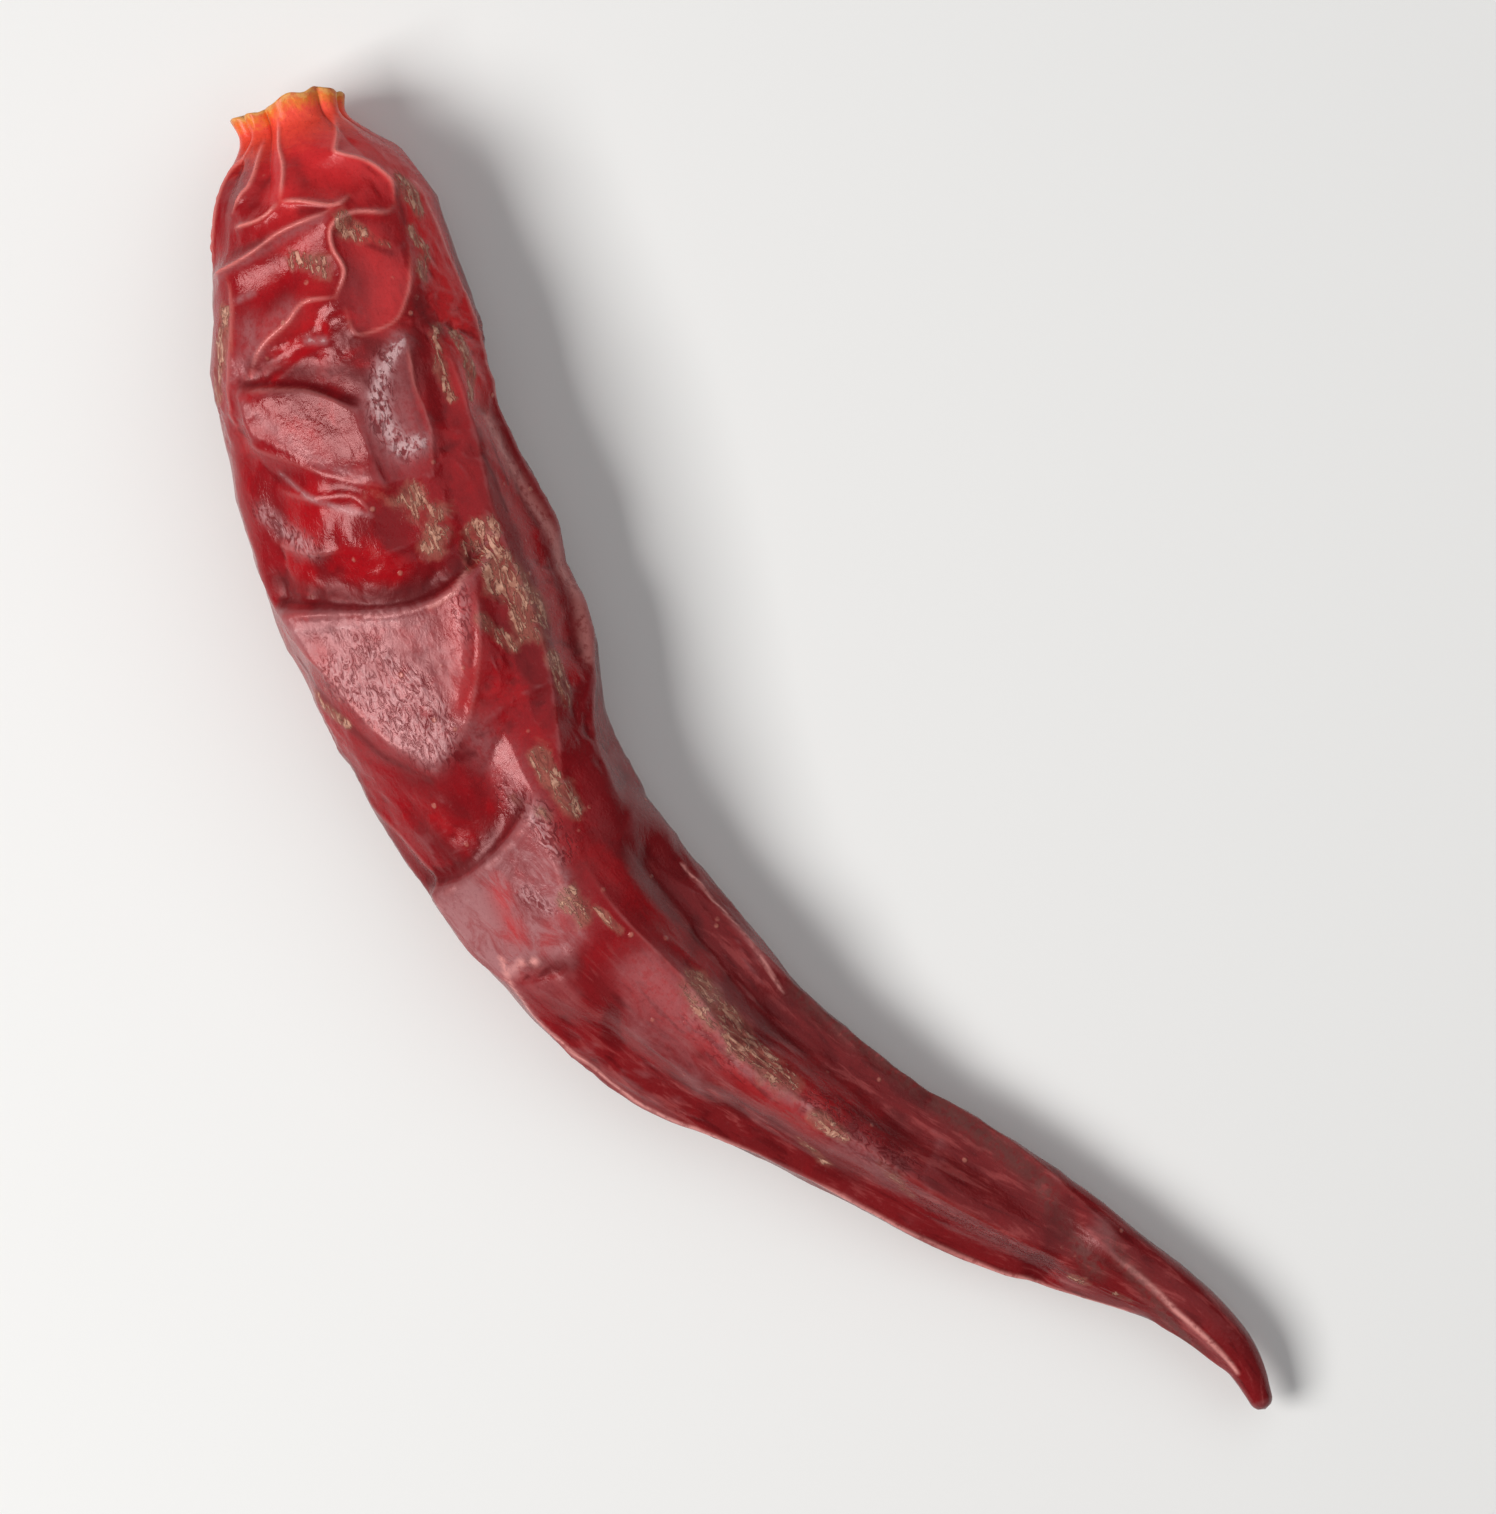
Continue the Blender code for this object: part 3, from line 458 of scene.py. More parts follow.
# Painted light: a brighter red where light would shine through the thin wall, and on a shaded
# shoulder.
MARKS["painted_glow"] = (
    (1.00, 0.8, (17.0, 52), (22.0, 54), (28.0, 56), (34.0, 54)),
    (1.10, 0.7, (43.6, 24), (48.0, 30), (53.0, 36)),
    (1.70, 1.0, (4.6, 52), (8.0, 62), (12.0, 62)),
    (0.80, 1.0, (12.6, -8), (13.6, -26), (14.6, -46)),
    (1.20, 0.6, (9.4, -24), (10.4, -40)),
    (1.50, 1.0, (20.6, -28), (22.4, -46), (24.6, -52)),
    (1.20, 0.8, (24.2, -20), (25.4, -4)),
    (1.20, 0.6, (36.6, -40), (38.8, -36), (39.4, -12)),
    (0.60, 1.0, (41.9, -29), (43.1, -34)),
    (1.20, 0.6, (31.0, 22), (34.0, 20)),
    (1.40, 0.5, (61.0, 16), (66.0, 14)),
    (1.60, 0.5, (58.0, 30), (64.0, 36)),
)
# Where the thin wall is flushed with the neck's pink.
MARKS["flush"] = (
    (0.95, 0.50, (27.6, 15), (30.5, 8), (33.2, 0)),
    (0.85, 0.62, (42.7, -36), (44.8, -41)),
    (0.80, 0.40, (45.4, -14), (46.2, -30)),
    (1.30, 0.85, (8.6, 20), (10.2, 26), (12.4, 21)),
    (1.70, 0.90, (4.4, 50), (8.0, 60), (12.0, 60), (17.0, 56)),
    (0.90, 0.45, (10.4, -6), (11.8, -14), (12.2, -30)),
    (1.60, 0.12, (20.4, 34), (24.0, 36)),
    (1.20, 0.45, (51.0, 4), (56.0, -2), (62.0, 2)),
)
# Painted shade: darker red in the valleys before the panels and on the far side.
MARKS["deep"] = (
    (0.30, 1.0, (24.8, -70), (25.6, -45), (26.6, -25), (27.2, -8), (27.4, 5), (26.9, 20)),
    (0.26, 0.9, (14.4, -50), (15.0, -30), (15.5, -14), (16.6, 0)),
    (0.55, 1.0, (23.8, -68), (25.2, -40), (26.4, -16), (27.0, 6), (26.3, 22)),
    (0.32, 0.9, (27.7, -80), (30.9, -59), (34.1, -47), (36.2, -30)),
    (1.00, 0.6, (35.6, -40), (38.0, -28), (40.3, -16)),
    (0.90, 0.9, (38.1, -52), (40.4, -42)),
    (0.35, 0.9, (40.6, -72), (41.0, -44), (40.6, -18), (39.6, 4)),
    (0.42, 0.9, (13.6, -44), (14.4, -20), (14.9, 0), (15.6, 6)),
    (0.50, 0.8, (13.2, 2), (13.9, 14)),
    (0.50, 0.8, (11.9, 37), (13.7, 46)),
    (0.30, 0.5, (3.4, -4), (4.8, -2)),
    (0.35, 0.6, (4.0, -27), (5.0, -36)),
    (0.25, 0.8, (6.2, -6), (6.4, 3)),
    (0.28, 0.7, (7.4, -50), (7.2, -30)),
    (0.20, 0.8, (8.6, 20), (9.2, 30)),
    (0.22, 0.8, (6.2, 44), (7.8, 44)),
    (0.13, 0.9, (21.1, 44), (22.5, 47), (24.6, 48)),
    (0.12, 0.9, (20.6, 54), (23.1, 56)),
    (0.14, 0.8, (22.5, 62), (26.1, 65)),
    (0.60, 0.6, (30.6, 30), (34.4, 33)),
    (1.80, 0.35, (44.7, 26), (50.2, 37), (56.4, 45), (62.0, 50)),
    (0.42, 0.9, (46.3, -44), (47.7, -24)),
    (0.50, 0.6, (60.6, -30), (66.0, -44)),
)
# Patches where the film has shrunk into dense curls.
MARKS["crinkle"] = (
    (1.50, 1.0, (29.6, -44), (32.0, -30), (34.6, -22)),
    (1.00, 1.0, (33.0, -14), (35.0, -16)),
    (1.00, 0.8, (14.6, 17), (16.4, 10), (18.2, 9), (19.6, 14)),
    (0.60, 0.5, (26.8, -52), (27.6, -34)),
    (0.90, 0.9, (38.5, 1), (40.7, 10), (42.6, 10)),
    (0.90, 0.6, (43.4, -22), (44.6, -16)),
    (0.90, 0.45, (22.0, 4), (24.6, 10)),
    (0.90, 0.9, (20.6, -60), (23.0, -36)),
    (0.80, 0.6, (27.8, 14), (30.0, 10)),
    (0.90, 0.7, (28.4, -30), (31.5, -14)),
    (1.20, 0.45, (54.0, 6), (58.0, -8)),
    (1.30, 0.6, (62.0, 16), (68.0, 8)),
    (1.20, 0.6, (70.0, -20), (77.0, -24)),
    (2.20, 0.9, (18.0, -128), (27.0, -118)),
    (2.20, 0.9, (24.0, 104), (34.0, 100)),
    (1.80, 0.9, (50.0, -140), (60.0, -150)),
)
# Grey-tan dust along the tail's upper edge.
MARKS["dust"] = (
    (0.60, 0.9, (57.6, 72), (62.9, 84), (67.9, 76), (71.3, 70), (74.4, 62), (76.8, 34), (79.2, 6)),
    (0.45, 0.8, (78.6, 54), (80.2, 34), (82.1, 13), (84.2, -24), (86.4, -42)),
    (1.30, 0.7, (44.0, 172), (56.0, 164), (70.0, 178)),
)
# How far the flecks stand proud, how fine and drawn out their streaks are, and how they are cut
# out of a noise.
SCAR_RISE = 0.05 * MM
SCAR_GRAIN = 0.42 * MM
SCAR_STRETCH = 0.40
SCAR_GAIN = 3.0
SCAR_CUT = 0.75


def through(table, at, column=1):
    """A smooth curve through a table's rows, whose first column is the place along it."""
    rows = np.array(table, float)
    knots = rows[:, 0]
    values = rows[:, column]
    slopes = np.gradient(values, knots)
    at = np.clip(at, knots[0], knots[-1])
    i = np.clip(np.searchsorted(knots, at, side="right") - 1, 0, len(knots) - 2)
    span = knots[i + 1] - knots[i]
    t = (at - knots[i]) / span
    stays = (1 + 2 * t) * (1 - t) ** 2 * values[i] + t * t * (3 - 2 * t) * values[i + 1]
    leans = t * (1 - t) ** 2 * slopes[i] - t * t * (1 - t) * slopes[i + 1]
    return stays + span * leans


def along(table, station, column=1):
    """The table's value in metres at stations in metres."""
    return through(table, station / MM, column) * MM


def signed_power(values, power):
    return np.sign(values) * np.abs(values) ** power


def half_sizes(station):
    """Half the width and half the height of the section, drawn in to a round tip."""
    into_tip = np.clip((station - (LENGTH - TIP_ROUND)) / TIP_ROUND, 0, 1)
    close = np.sqrt(np.clip(1 - into_tip**2, 0, 1))
    return along(HALF_WIDTH, station) * close, along(HALF_HEIGHT, station) * close


def straight_points(station, angle):
    """Points of the smooth skin with the centre line pulled straight: along, across and up."""
    wide, high = half_sizes(station)
    corner = through(CORNERS, station / MM)
    across = wide * signed_power(np.sin(angle), corner)
    up = high * signed_power(np.cos(angle), corner)
    return np.stack([station, across, up], axis=-1)


def section_normals(station, angle):
    """The directions across and up that stand square on the smooth section."""
    wide, high = half_sizes(station)
    corner = through(CORNERS, station / MM)
    across = high * signed_power(np.sin(angle), 2 - corner)
    up = wide * signed_power(np.cos(angle), 2 - corner)
    normal = np.stack([across, up], axis=-1)
    return normal / np.maximum(np.linalg.norm(normal, axis=1), TINY)[:, None]


def distance_to_line(points, corners):
    """Each point's distance to a line through corners, and the nearest place's share along it."""
    nearest = np.full(len(points), np.inf)
    share = np.zeros(len(points))
    lengths = np.linalg.norm(np.diff(corners, axis=0), axis=1)
    before = np.concatenate([[0.0], np.cumsum(lengths)])
    for start, end, length, run in zip(corners[:-1], corners[1:], lengths, before):
        way = end - start
        t = np.clip((points - start) @ way / length**2, 0, 1)
        apart = np.linalg.norm(points - (start + t[:, None] * way), axis=1)
        closer = apart < nearest
        nearest = np.where(closer, apart, nearest)
        share = np.where(closer, (run + t * length) / before[-1], share)
    return nearest, share


def fold_line(points, line):
    """Each point's distance to a fold's smooth line, and the nearest place's share along it."""
    rows = np.array(line, float)
    places = np.linspace(0, 1, STEPS_A_POINT * len(rows))
    share = np.linspace(0, 1, len(rows))
    station = through(np.stack([share, rows[:, 0]], 1), places) * MM
    angle = np.radians(through(np.stack([share, rows[:, 1]], 1), places))
    return distance_to_line(points, straight_points(station, angle))


def fading(run, least=0.0):
    """1 along a fold, and falling to the least at both ends. The run is the share of its length."""
    return np.clip(np.minimum(run, 1 - run) / FADE_LENGTH, least, 1)


def sharpness(width):
    """1 for a narrow fold, and less for a wide one."""
    return np.clip(SHARP_WIDTH / width, LEAST_SHARP, 1)


def fold_height(points, rise, width, line):
    """How much one fold lifts each point: a crest with the skin hanging from it."""
    apart, run = fold_line(points, line)
    soft = np.sqrt(apart**2 + CREST_SOFTNESS**2) - CREST_SOFTNESS
    faded = FADED_RISE + (1 - FADED_RISE) * fading(run)
    return rise * MM * np.exp(-soft / (width * MM)) * faded


def welt_height(points, width, line):
    """The thin welt that a fold's crest is pinched into, sharper the narrower the fold is."""
    apart, run = fold_line(points, line)
    away = np.clip((points[:, 0] - WELTS_FROM) / (WELTS_TO - WELTS_FROM), 0, 1)
    sharp = sharpness(width) * (1 - (1 - WELTS_LEFT) * away)
    return WELT * sharp * np.exp(-((apart / WELT_WIDTH) ** 2)) * fading(run)


def inside(station, angle, corners):
    """Which places lie within a ring of corners, in millimetres and degrees."""
    x, y = station / MM, np.degrees(angle)
    within = np.zeros(len(x), bool)
    for (x1, y1, _), (x2, y2, _) in zip(corners, corners[1:] + corners[:1]):
        spans = (y1 > y) != (y2 > y)
        crossing = x1 + (y - y1) * (x2 - x1) / (y2 - y1 or TINY)
        within ^= spans & (x < crossing)
    return within


def panel_share(points, station, angle, panel):
    """How much each point belongs to a panel: 1 within it, and fading over its edge."""
    rows = np.array(panel.corners + panel.corners[:1], float)
    apart, _ = distance_to_line(points, straight_points(rows[:, 0] * MM, np.radians(rows[:, 1])))
    return np.where(inside(station, angle, panel.corners), 1.0, np.exp(-apart / PANEL_EDGE))


def panel_height(points, station, angle, panel):
    """How far out of the smooth pod the panel's plane lies at each point."""
    rows = np.array(panel.corners, float)
    places = rows[:, 0] * MM, np.radians(rows[:, 1])
    corners = straight_points(*places)
    corners[:, 1:] += section_normals(*places) * rows[:, 2:] * MM
    middle = corners.mean(axis=0)
    facing = np.linalg.svd(corners - middle)[2][2]
    facing *= np.sign(facing[2])
    against = section_normals(station, angle) @ facing[1:]
    out = ((middle - points) @ facing) / np.maximum(against, LEAST_FACING)
    return np.minimum(out, PANEL_PROUD)


def step_height(station, angle, step):
    """How deep the skin sags before a step, with the step's wall at the sag's end."""
    rows = np.array(step.points, float)
    degrees = np.degrees(angle)
    past = station / MM - through(rows, degrees)
    sag = np.exp(np.minimum(past + STEP_WALL, 0) / step.reach) * np.clip(-past / STEP_WALL, 0, 1)
    ends = np.minimum(degrees - rows[0, 0], rows[-1, 0] - degrees) / STEP_FADE
    return -step.drop * MM * sag * np.clip(ends, 0, 1)


def line_nearness(points, line, reach):
    """How near each point is to a line of (station, angle) points: 1 on it, fading with reach."""
    rows = np.array(line, float)
    corners = straight_points(rows[:, 0] * MM, np.radians(rows[:, 1]))
    apart, _ = distance_to_line(points, corners)
    return np.exp(-((apart / reach) ** 2))


def marked(points, name):
    """How strongly the strongest marking of this name shows at each point."""
    shown = [
        strength * line_nearness(points, line, width * MM)
        for width, strength, *line in MARKS[name]
    ]
    return np.max(shown, axis=0)


def wander(points):
    """Points pushed about by a smooth noise, so that nothing laid over them runs straight."""
    noise.seed_set(WANDER_SEED)
    pushed = [p + np.array(noise.noise_vector(Vector(p / WANDER_SCALE))) * WANDER for p in points]
    return np.array(pushed)


def smooth_noise(points, scale, stretch=1.0):
    """A smooth noise of about -1 to 1, drawn out along the pod where stretch is below 1."""
    drawn = points * np.array([stretch, 1.0, 1.0]) / scale
    return np.array([noise.noise(Vector(p)) for p in drawn])


def cell_centres(cells):
    """The cells' middles, in rows round the pod and shifted by seeded draws, and their depths."""
    draw = np.random.default_rng(cells.seed)
    step = cells.length * MM
    last = LENGTH - TIP_ROUND
    centres = []
    for row in range(int(LENGTH / step) + 2):
        middle = min(max((row + draw.uniform(-STRAY_ALONG, STRAY_ALONG)) * step, 0.0), last)
        wide, high = half_sizes(np.array([middle]))
        around = max(2, round(math.pi * (wide[0] + high[0]) / (cells.width * MM)))
        turn = draw.uniform(0, 2 * math.pi)
        for k in range(around):
            angle = turn + (k + draw.uniform(-STRAY_ROUND, STRAY_ROUND)) * 2 * math.pi / around
            station = min(max(middle + draw.uniform(-STRAY_ALONG, STRAY_ALONG) * step, 0.0), last)
            centres.append(straight_points(np.array([station]), np.array([angle]))[0])
    depths = draw.uniform(LEAST_DEPTH, 1.0, len(centres))
    return np.array(centres), depths


def cell_height(points, cells, stretch):
    """How far the cells sink each point: not at all on the crests between them."""
    centres, depths = cell_centres(cells)
    scale = np.array([stretch, 1.0, 1.0])
    there = centres * scale
    tree = kdtree.KDTree(len(there))
    for index, place in enumerate(there):
        tree.insert(place, index)
    tree.balance()
    found = [tree.find_n(p, NEAR_CELLS) for p in points * scale]
    found = np.array([[(index, apart) for _, index, apart in nearest] for nearest in found])
    near = found[:, :, 0].astype(int)
    apart = found[:, :, 1]
    between = np.linalg.norm(there[near[:, 1:]] - there[near[:, :1]], axis=2)
    to_crest = ((apart[:, 1:] ** 2 - apart[:, :1] ** 2) / (2 * between)).min(axis=1)
    rounding = max(cells.rounding * MM, 0.5 * CREST_SOFTNESS)
    soft = np.sqrt(to_crest**2 + rounding**2) - rounding
    return -cells.depth * MM * depths[near[:, 0]] * (1 - np.exp(-soft / (cells.crest * MM)))


def turn_between(angle, other):
    """The angle from other to angle, from -pi to pi."""
    return np.mod(angle - other + math.pi, 2 * math.pi) - math.pi


def pleat_height(station, angle):
    """The drawn neck: rounded pleats with pinched valleys that run out over the shoulder."""
    wide, high = half_sizes(station)
    radius = 0.5 * (wide + high)
    out = np.full(len(station), PLEAT_SWELL)
    for degrees, depth in PLEATS:
        apart = np.abs(turn_between(angle, math.radians(degrees))) * radius
        out -= (depth * MM + PLEAT_SWELL) * np.exp(-apart / PLEAT_WIDTH)
    out += RIM_TURN_OUT * np.exp(-station / RIM_REACH)
    return out * np.exp(-((station / PLEAT_REACH) ** 2))


def resting(station, angle):
    """1 where the belly lies on the surface, and 0 away from there."""
    lying = np.abs(turn_between(angle, math.pi)) / REST_HALF_ANGLE
    begins = np.clip((station - REST_FROM) / REST_BLEND, 0, 1)
    ends = np.clip((REST_TO - station) / REST_BLEND, 0, 1)
    return begins * ends * np.clip(REST_EDGE * (1 - lying), 0, 1)


def relief(station, angle):
    """How far the skin stands out of the smooth pod, or in where it is negative."""
    points = straight_points(station, angle)
    wandered = wander(points)
    wide, _ = half_sizes(station)
    girth = np.clip(wide / FULL_GIRTH, LEAST_GIRTH, 1.0)
    near_neck = np.exp(-((station / NECK_REACH) ** 2))
    patches = smooth_noise(points, PATCH_SCALE)
    puckered = PUCKER_EVERYWHERE + PUCKER_AT_NECK * near_neck + PUCKER_IN_PATCHES * patches
    puckered = np.clip(puckered, LEAST_PUCKERED, MOST_PUCKERED)
    out = cell_height(wandered, PANELS, PANEL_STRETCH) * girth * (1 - NECK_CALMS * near_neck)
    out += cell_height(wandered, PUCKERS, 1.0) * girth * puckered
    out += SWELL * smooth_noise(points, SWELL_SCALE, PANEL_STRETCH) * girth
    out *= 1 - resting(station, angle)
    for rise, width, *line in FOLDS:
        out += fold_height(points, rise, width, line)
    for rise, width, *line in HOLLOWS:
        out += rise * MM * line_nearness(points, line, width * MM)
    for step in STEPS:
        out += step_height(station, angle, step)
    for panel in TAUT_PANELS:
        flat = panel.flat * panel_share(points, station, angle, panel)
        out += flat * (panel_height(points, station, angle, panel) - out)
    for _, width, *line in FOLDS:
        out += welt_height(points, width, line)
    out += pleat_height(station, angle)
    return np.clip(out, -MOST_RELIEF * wide, MOST_RELIEF * wide)


def tear(angle):
    """How far the torn rim stands proud, along the pod, at each angle."""
    ragged = sum(share * np.sin(count * angle + start) for count, start, share in TEAR_WAVES)
    return -TEAR_HEIGHT * ragged


def lay(station, across, up):
    """Bends the straight pod along its centre line and lifts it to where it lies."""
    turn = np.radians(through(TWIST, station / MM))
    side = across * np.cos(turn) + up * np.sin(turn)
    rise = up * np.cos(turn) - across * np.sin(turn)
    on_line = np.clip(station, 0, LENGTH)
    ahead = np.clip(on_line + LINE_STEP, 0, LENGTH)
    behind = np.clip(on_line - LINE_STEP, 0, LENGTH)
    way = [along(CENTRE_LINE, ahead, k) - along(CENTRE_LINE, behind, k) for k in (1, 2)]
    way = np.stack(way, axis=-1)
    way /= np.linalg.norm(way, axis=1)[:, None]
    beyond = station - on_line
    x = along(CENTRE_LINE, on_line, 1) + beyond * way[:, 0] - side * way[:, 1]
    y = along(CENTRE_LINE, on_line, 2) + beyond * way[:, 1] + side * way[:, 0]
    z = along(CENTRE_HEIGHT, on_line) + rise
    return np.stack([x, y, z], axis=-1)


def outer_skin(station, angle):
    """Points of the outside, laid in place."""
    points = straight_points(station, angle)
    normal = section_normals(station, angle)
    out = relief(station, angle) + fine_relief(station, angle) + SCAR_RISE * scar_amount(points)
    torn = tear(angle) * np.exp(-station / TEAR_REACH)
    return lay(station + torn, points[:, 1] + out * normal[:, 0], points[:, 2] + out * normal[:, 1])


def mouth_lining(share, angle):
    """Points of the stalk's pit, from its floor's middle, 0, to the rim's inner edge, 1."""
    start = np.zeros_like(share)
    rim = straight_points(start, angle)
    normal = section_normals(start, angle)
    inward = relief(start, angle) - WALL
    turn = np.pi * np.minimum(share, 0.5)
    spread = np.sin(turn)
    floor = MOUTH_DEPTH - MOUTH_ROUND * (1 - np.cos(turn))
    deep = np.where(share < 0.5, floor, (MOUTH_DEPTH - MOUTH_ROUND) * 2 * (1 - share))
    across = spread * (rim[:, 1] + inward * normal[:, 0])
    up = spread * (rim[:, 2] + inward * normal[:, 1])
    torn = tear(angle) * np.exp(-deep / TEAR_REACH)
    return lay(deep + torn, across, up)


def ridged(points, scale, stretch=1.0):
    """A noise with sharp crests, from 0 to 1, drawn out along the pod where stretch is below 1."""
    return (1 - np.clip(np.abs(smooth_noise(points, scale, stretch)) * RIDGED_GAIN, 0, 1)) ** 2


def crumpled(points, scale, seed):
    """A noise of -1 to 1 of flat faces with sharp edges between them.

    Heights are drawn for the corners of a grid of tetrahedra, and laid out evenly within each.
    """
    heights = np.random.default_rng(seed).uniform(-1, 1, CRUMPLE_VALUES)
    at = points @ np.array(CRUMPLE_TURN).T / scale
    corner = np.floor(at).astype(int)
    within = at - corner
    order = np.argsort(-within, axis=1)
    shares = np.take_along_axis(within, order, axis=1)
    shares = np.pad(shares, ((0, 0), (1, 1)), constant_values=((0, 0), (1, 0)))
    out = np.zeros(len(points))
    rows = np.arange(len(points))
    for step in range(4):
        height = heights[(corner @ np.array(CRUMPLE_STEPS)) % CRUMPLE_VALUES]
        out += (shares[:, step] - shares[:, step + 1]) * height
        if step < 3:
            corner[rows, order[:, step]] += 1
    return out


def panel_shares(points, station, angle):
    """How much each point belongs to each of the panels, a row for each panel."""
    return np.array([panel_share(points, station, angle, panel) for panel in TAUT_PANELS])


def fine_relief(station, angle):
    """The crumple and the small wrinkles that stand on the folds and between them."""
    points = straight_points(station, angle)
    wandered = wander(points)
    wide, _ = half_sizes(station)
    girth = np.clip(wide / FULL_GIRTH, LEAST_FINE_GIRTH, 1.0)
    lengthwise = np.exp(-((station / LINES_NECK_REACH) ** 2))
    lengthwise += np.clip((station - LINES_TAIL_FROM) / LINES_TAIL_BLEND, 0, 1)
    lengthwise = np.clip(lengthwise, 0, 1)
    patches = PATCH_MIDDLE + PATCH_CONTRAST * smooth_noise(points, CRINKLE_PATCH)
    patches = np.clip(patches, LEAST_PATCHED, 1)
    calm = 1 - (1 - CRUMPLE_ON_PANELS) * panel_shares(points, station, angle).max(axis=0)
    crumple = CRUMPLE * crumpled(wandered, CRUMPLE_SCALE, CRUMPLE_SEED)
    crinkle = CRINKLE * ridged(wandered, CRINKLE_SCALE) * patches
    out = crumple * calm * (1 - LINES_CALM_CRUMPLE * lengthwise)
    out += SMALL_CRUMPLE * crumpled(wandered, SMALL_CRUMPLE_SCALE, SMALL_CRUMPLE_SEED) * patches
    out += crinkle * calm * (1 - LINES_CALM_CRINKLE * lengthwise)
    out += FINE_CRINKLE * ridged(wandered, FINE_SCALE) * patches
    out += LINES * ridged(wandered, LINES_SCALE, LINES_STRETCH) * lengthwise
    return out * girth * (1 - RESTING_CALMS * resting(station, angle))


def scar_amount(points):
    """How far the corky flecks stand proud: ragged streaks along their lines."""
    ragged = ridged(wander(points), SCAR_GRAIN, SCAR_STRETCH)
    return np.clip(SCAR_GAIN * marked(points, "scar") * ragged - SCAR_CUT, 0, 1)


def crest_amount(points):
    """How close each point is to a fold's crest line, weighed by how sharp the fold is."""
    amount = np.zeros(len(points))
    for _, width, *line in FOLDS:
        apart, run = fold_line(points, line)
        sharp = fading(run, LEAST_CREST) * sharpness(width)
        amount = np.maximum(amount, sharp * np.exp(-((apart / CREST_WIDTH) ** 2)))
    return amount


def standing_out(mesh, points, rounds):
    """How far each point stands out of its surroundings, in millimetres: below 0 in creases."""
    ends = np.empty(len(mesh.edges) * 2, int)
    mesh.edges.foreach_get("vertices", ends)
    first, second = ends.reshape(-1, 2).T
    neighbours = np.bincount(ends, minlength=len(points))
    level = points.copy()
    for _ in range(rounds):
        around = [
            np.bincount(first, values[second], len(points))
            + np.bincount(second, values[first], len(points))
            for values in level.T
        ]
        level = 0.5 * level + 0.5 * np.stack(around, axis=1) / neighbours[:, None]
    normals = np.empty(len(points) * 3)
    mesh.vertex_normals.foreach_get("vector", normals)
    return ((points - level) * normals.reshape(-1, 3)).sum(axis=1) / MM


def made_mesh(name, make, **sizes):
    """A new mesh that one of bmesh's own operators makes."""
    bm = bmesh.new()
    make(bm, **sizes)
    mesh = bpy.data.meshes.new(name)
    bm.to_mesh(mesh)
    bm.free()
    return mesh


def pod_mesh():
    """The pod's fine mesh in place, with what its material reads of each point written on it."""
    segments, outer_rings = ((SEGMENTS, OUTER_RINGS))
    rings = MOUTH_RINGS + outer_rings
    mesh = made_mesh(
        "pod_skin", bmesh.ops.create_uvsphere, u_segments=segments, v_segments=rings, radius=1
    )
    sphere = np.empty(len(mesh.vertices) * 3)
    mesh.vertices.foreach_get("co", sphere)
    sphere = sphere.reshape(-1, 3)
    # The sphere's rings run from the pit's floor at the bottom to the pod's tip at the top.
    ring = np.rint((1 - np.arccos(np.clip(sphere[:, 2], -1, 1)) / math.pi) * rings)
    angle = np.arctan2(sphere[:, 0], sphere[:, 1])
    angle -= TOP_CROWDING * np.sin(angle)
    in_mouth = ring < MOUTH_RINGS
    outside = ~in_mouth
    station = np.zeros(len(sphere))
    share = (ring[outside] - MOUTH_RINGS) / outer_rings
    station[outside] = np.clip(through(RING_SPREAD, share) * MM, 0, LENGTH)
    placed = np.zeros_like(sphere)
    placed[in_mouth] = mouth_lining(ring[in_mouth] / (MOUTH_RINGS - 1), angle[in_mouth])
    placed[outside] = outer_skin(station[outside], angle[outside])
    placed[:, 2] = np.maximum(placed[:, 2], REST_CUT)
    placed = np.clip(placed + np.array(RIM_PLACE), CAD_BOX[0], CAD_BOX[1])
    mesh.vertices.foreach_set("co", placed.ravel())
    mesh.update()
    rounds = SURROUNDINGS
    skin = straight_points(station, angle)
    painted_sheens = np.array([[panel.painted_sheen] for panel in TAUT_PANELS])
    facts = {name: marked(skin, name) for name in MARKS}
    facts["proud"] = standing_out(mesh, placed, rounds)
    facts["crest"] = crest_amount(skin)
    # Painted highlight: the pale pink haze that each panel carries.
    facts["painted_panel_haze"] = (painted_sheens * panel_shares(skin, station, angle) ** 2).max(axis=0)
    facts["station"] = station / LENGTH
    facts["flank"] = np.sin(angle)
    for name, values in facts.items():
        values[in_mouth] = 0
        mesh.attributes.new(name, "FLOAT", "POINT").data.foreach_set("value", values)
    pit = np.where(in_mouth, 1 - (1 - PIT_AT_RIM) * ring / MOUTH_RINGS, 0)
    mesh.attributes.new("pit", "FLOAT", "POINT").data.foreach_set("value", pit)
    place = mesh.attributes.new("skin", "FLOAT_VECTOR", "POINT")
    place.data.foreach_set("vector", (skin / MM).ravel())
    mesh.shade_smooth()
    mesh.update()
    return mesh


class Value:
    """What a material works out at each place. Values add up and multiply like numbers."""

    def __init__(self, graph, socket):
        self.graph = graph
        self.socket = socket

    def __add__(self, other):
        return self.graph.math("ADD", self, other)

    def __sub__(self, other):
        return self.graph.math("SUBTRACT", self, other)

    def __rsub__(self, other):
        return self.graph.math("SUBTRACT", other, self)

    def __mul__(self, other):
        return self.graph.math("MULTIPLY", self, other)

    def held(self):
        """The same sum or product, held between 0 and 1."""
        self.socket.node.use_clamp = True
        return self

    def between(self, low, high, to_low=0.0, to_high=1.0):
        """The value's place between low and high, laid out from to_low to to_high."""
        return self.graph.add(
            "ShaderNodeMapRange", "Result", {"interpolation_type": "SMOOTHSTEP"},
            Value=self, From_Min=low, From_Max=high, To_Min=to_low, To_Max=to_high,
        )


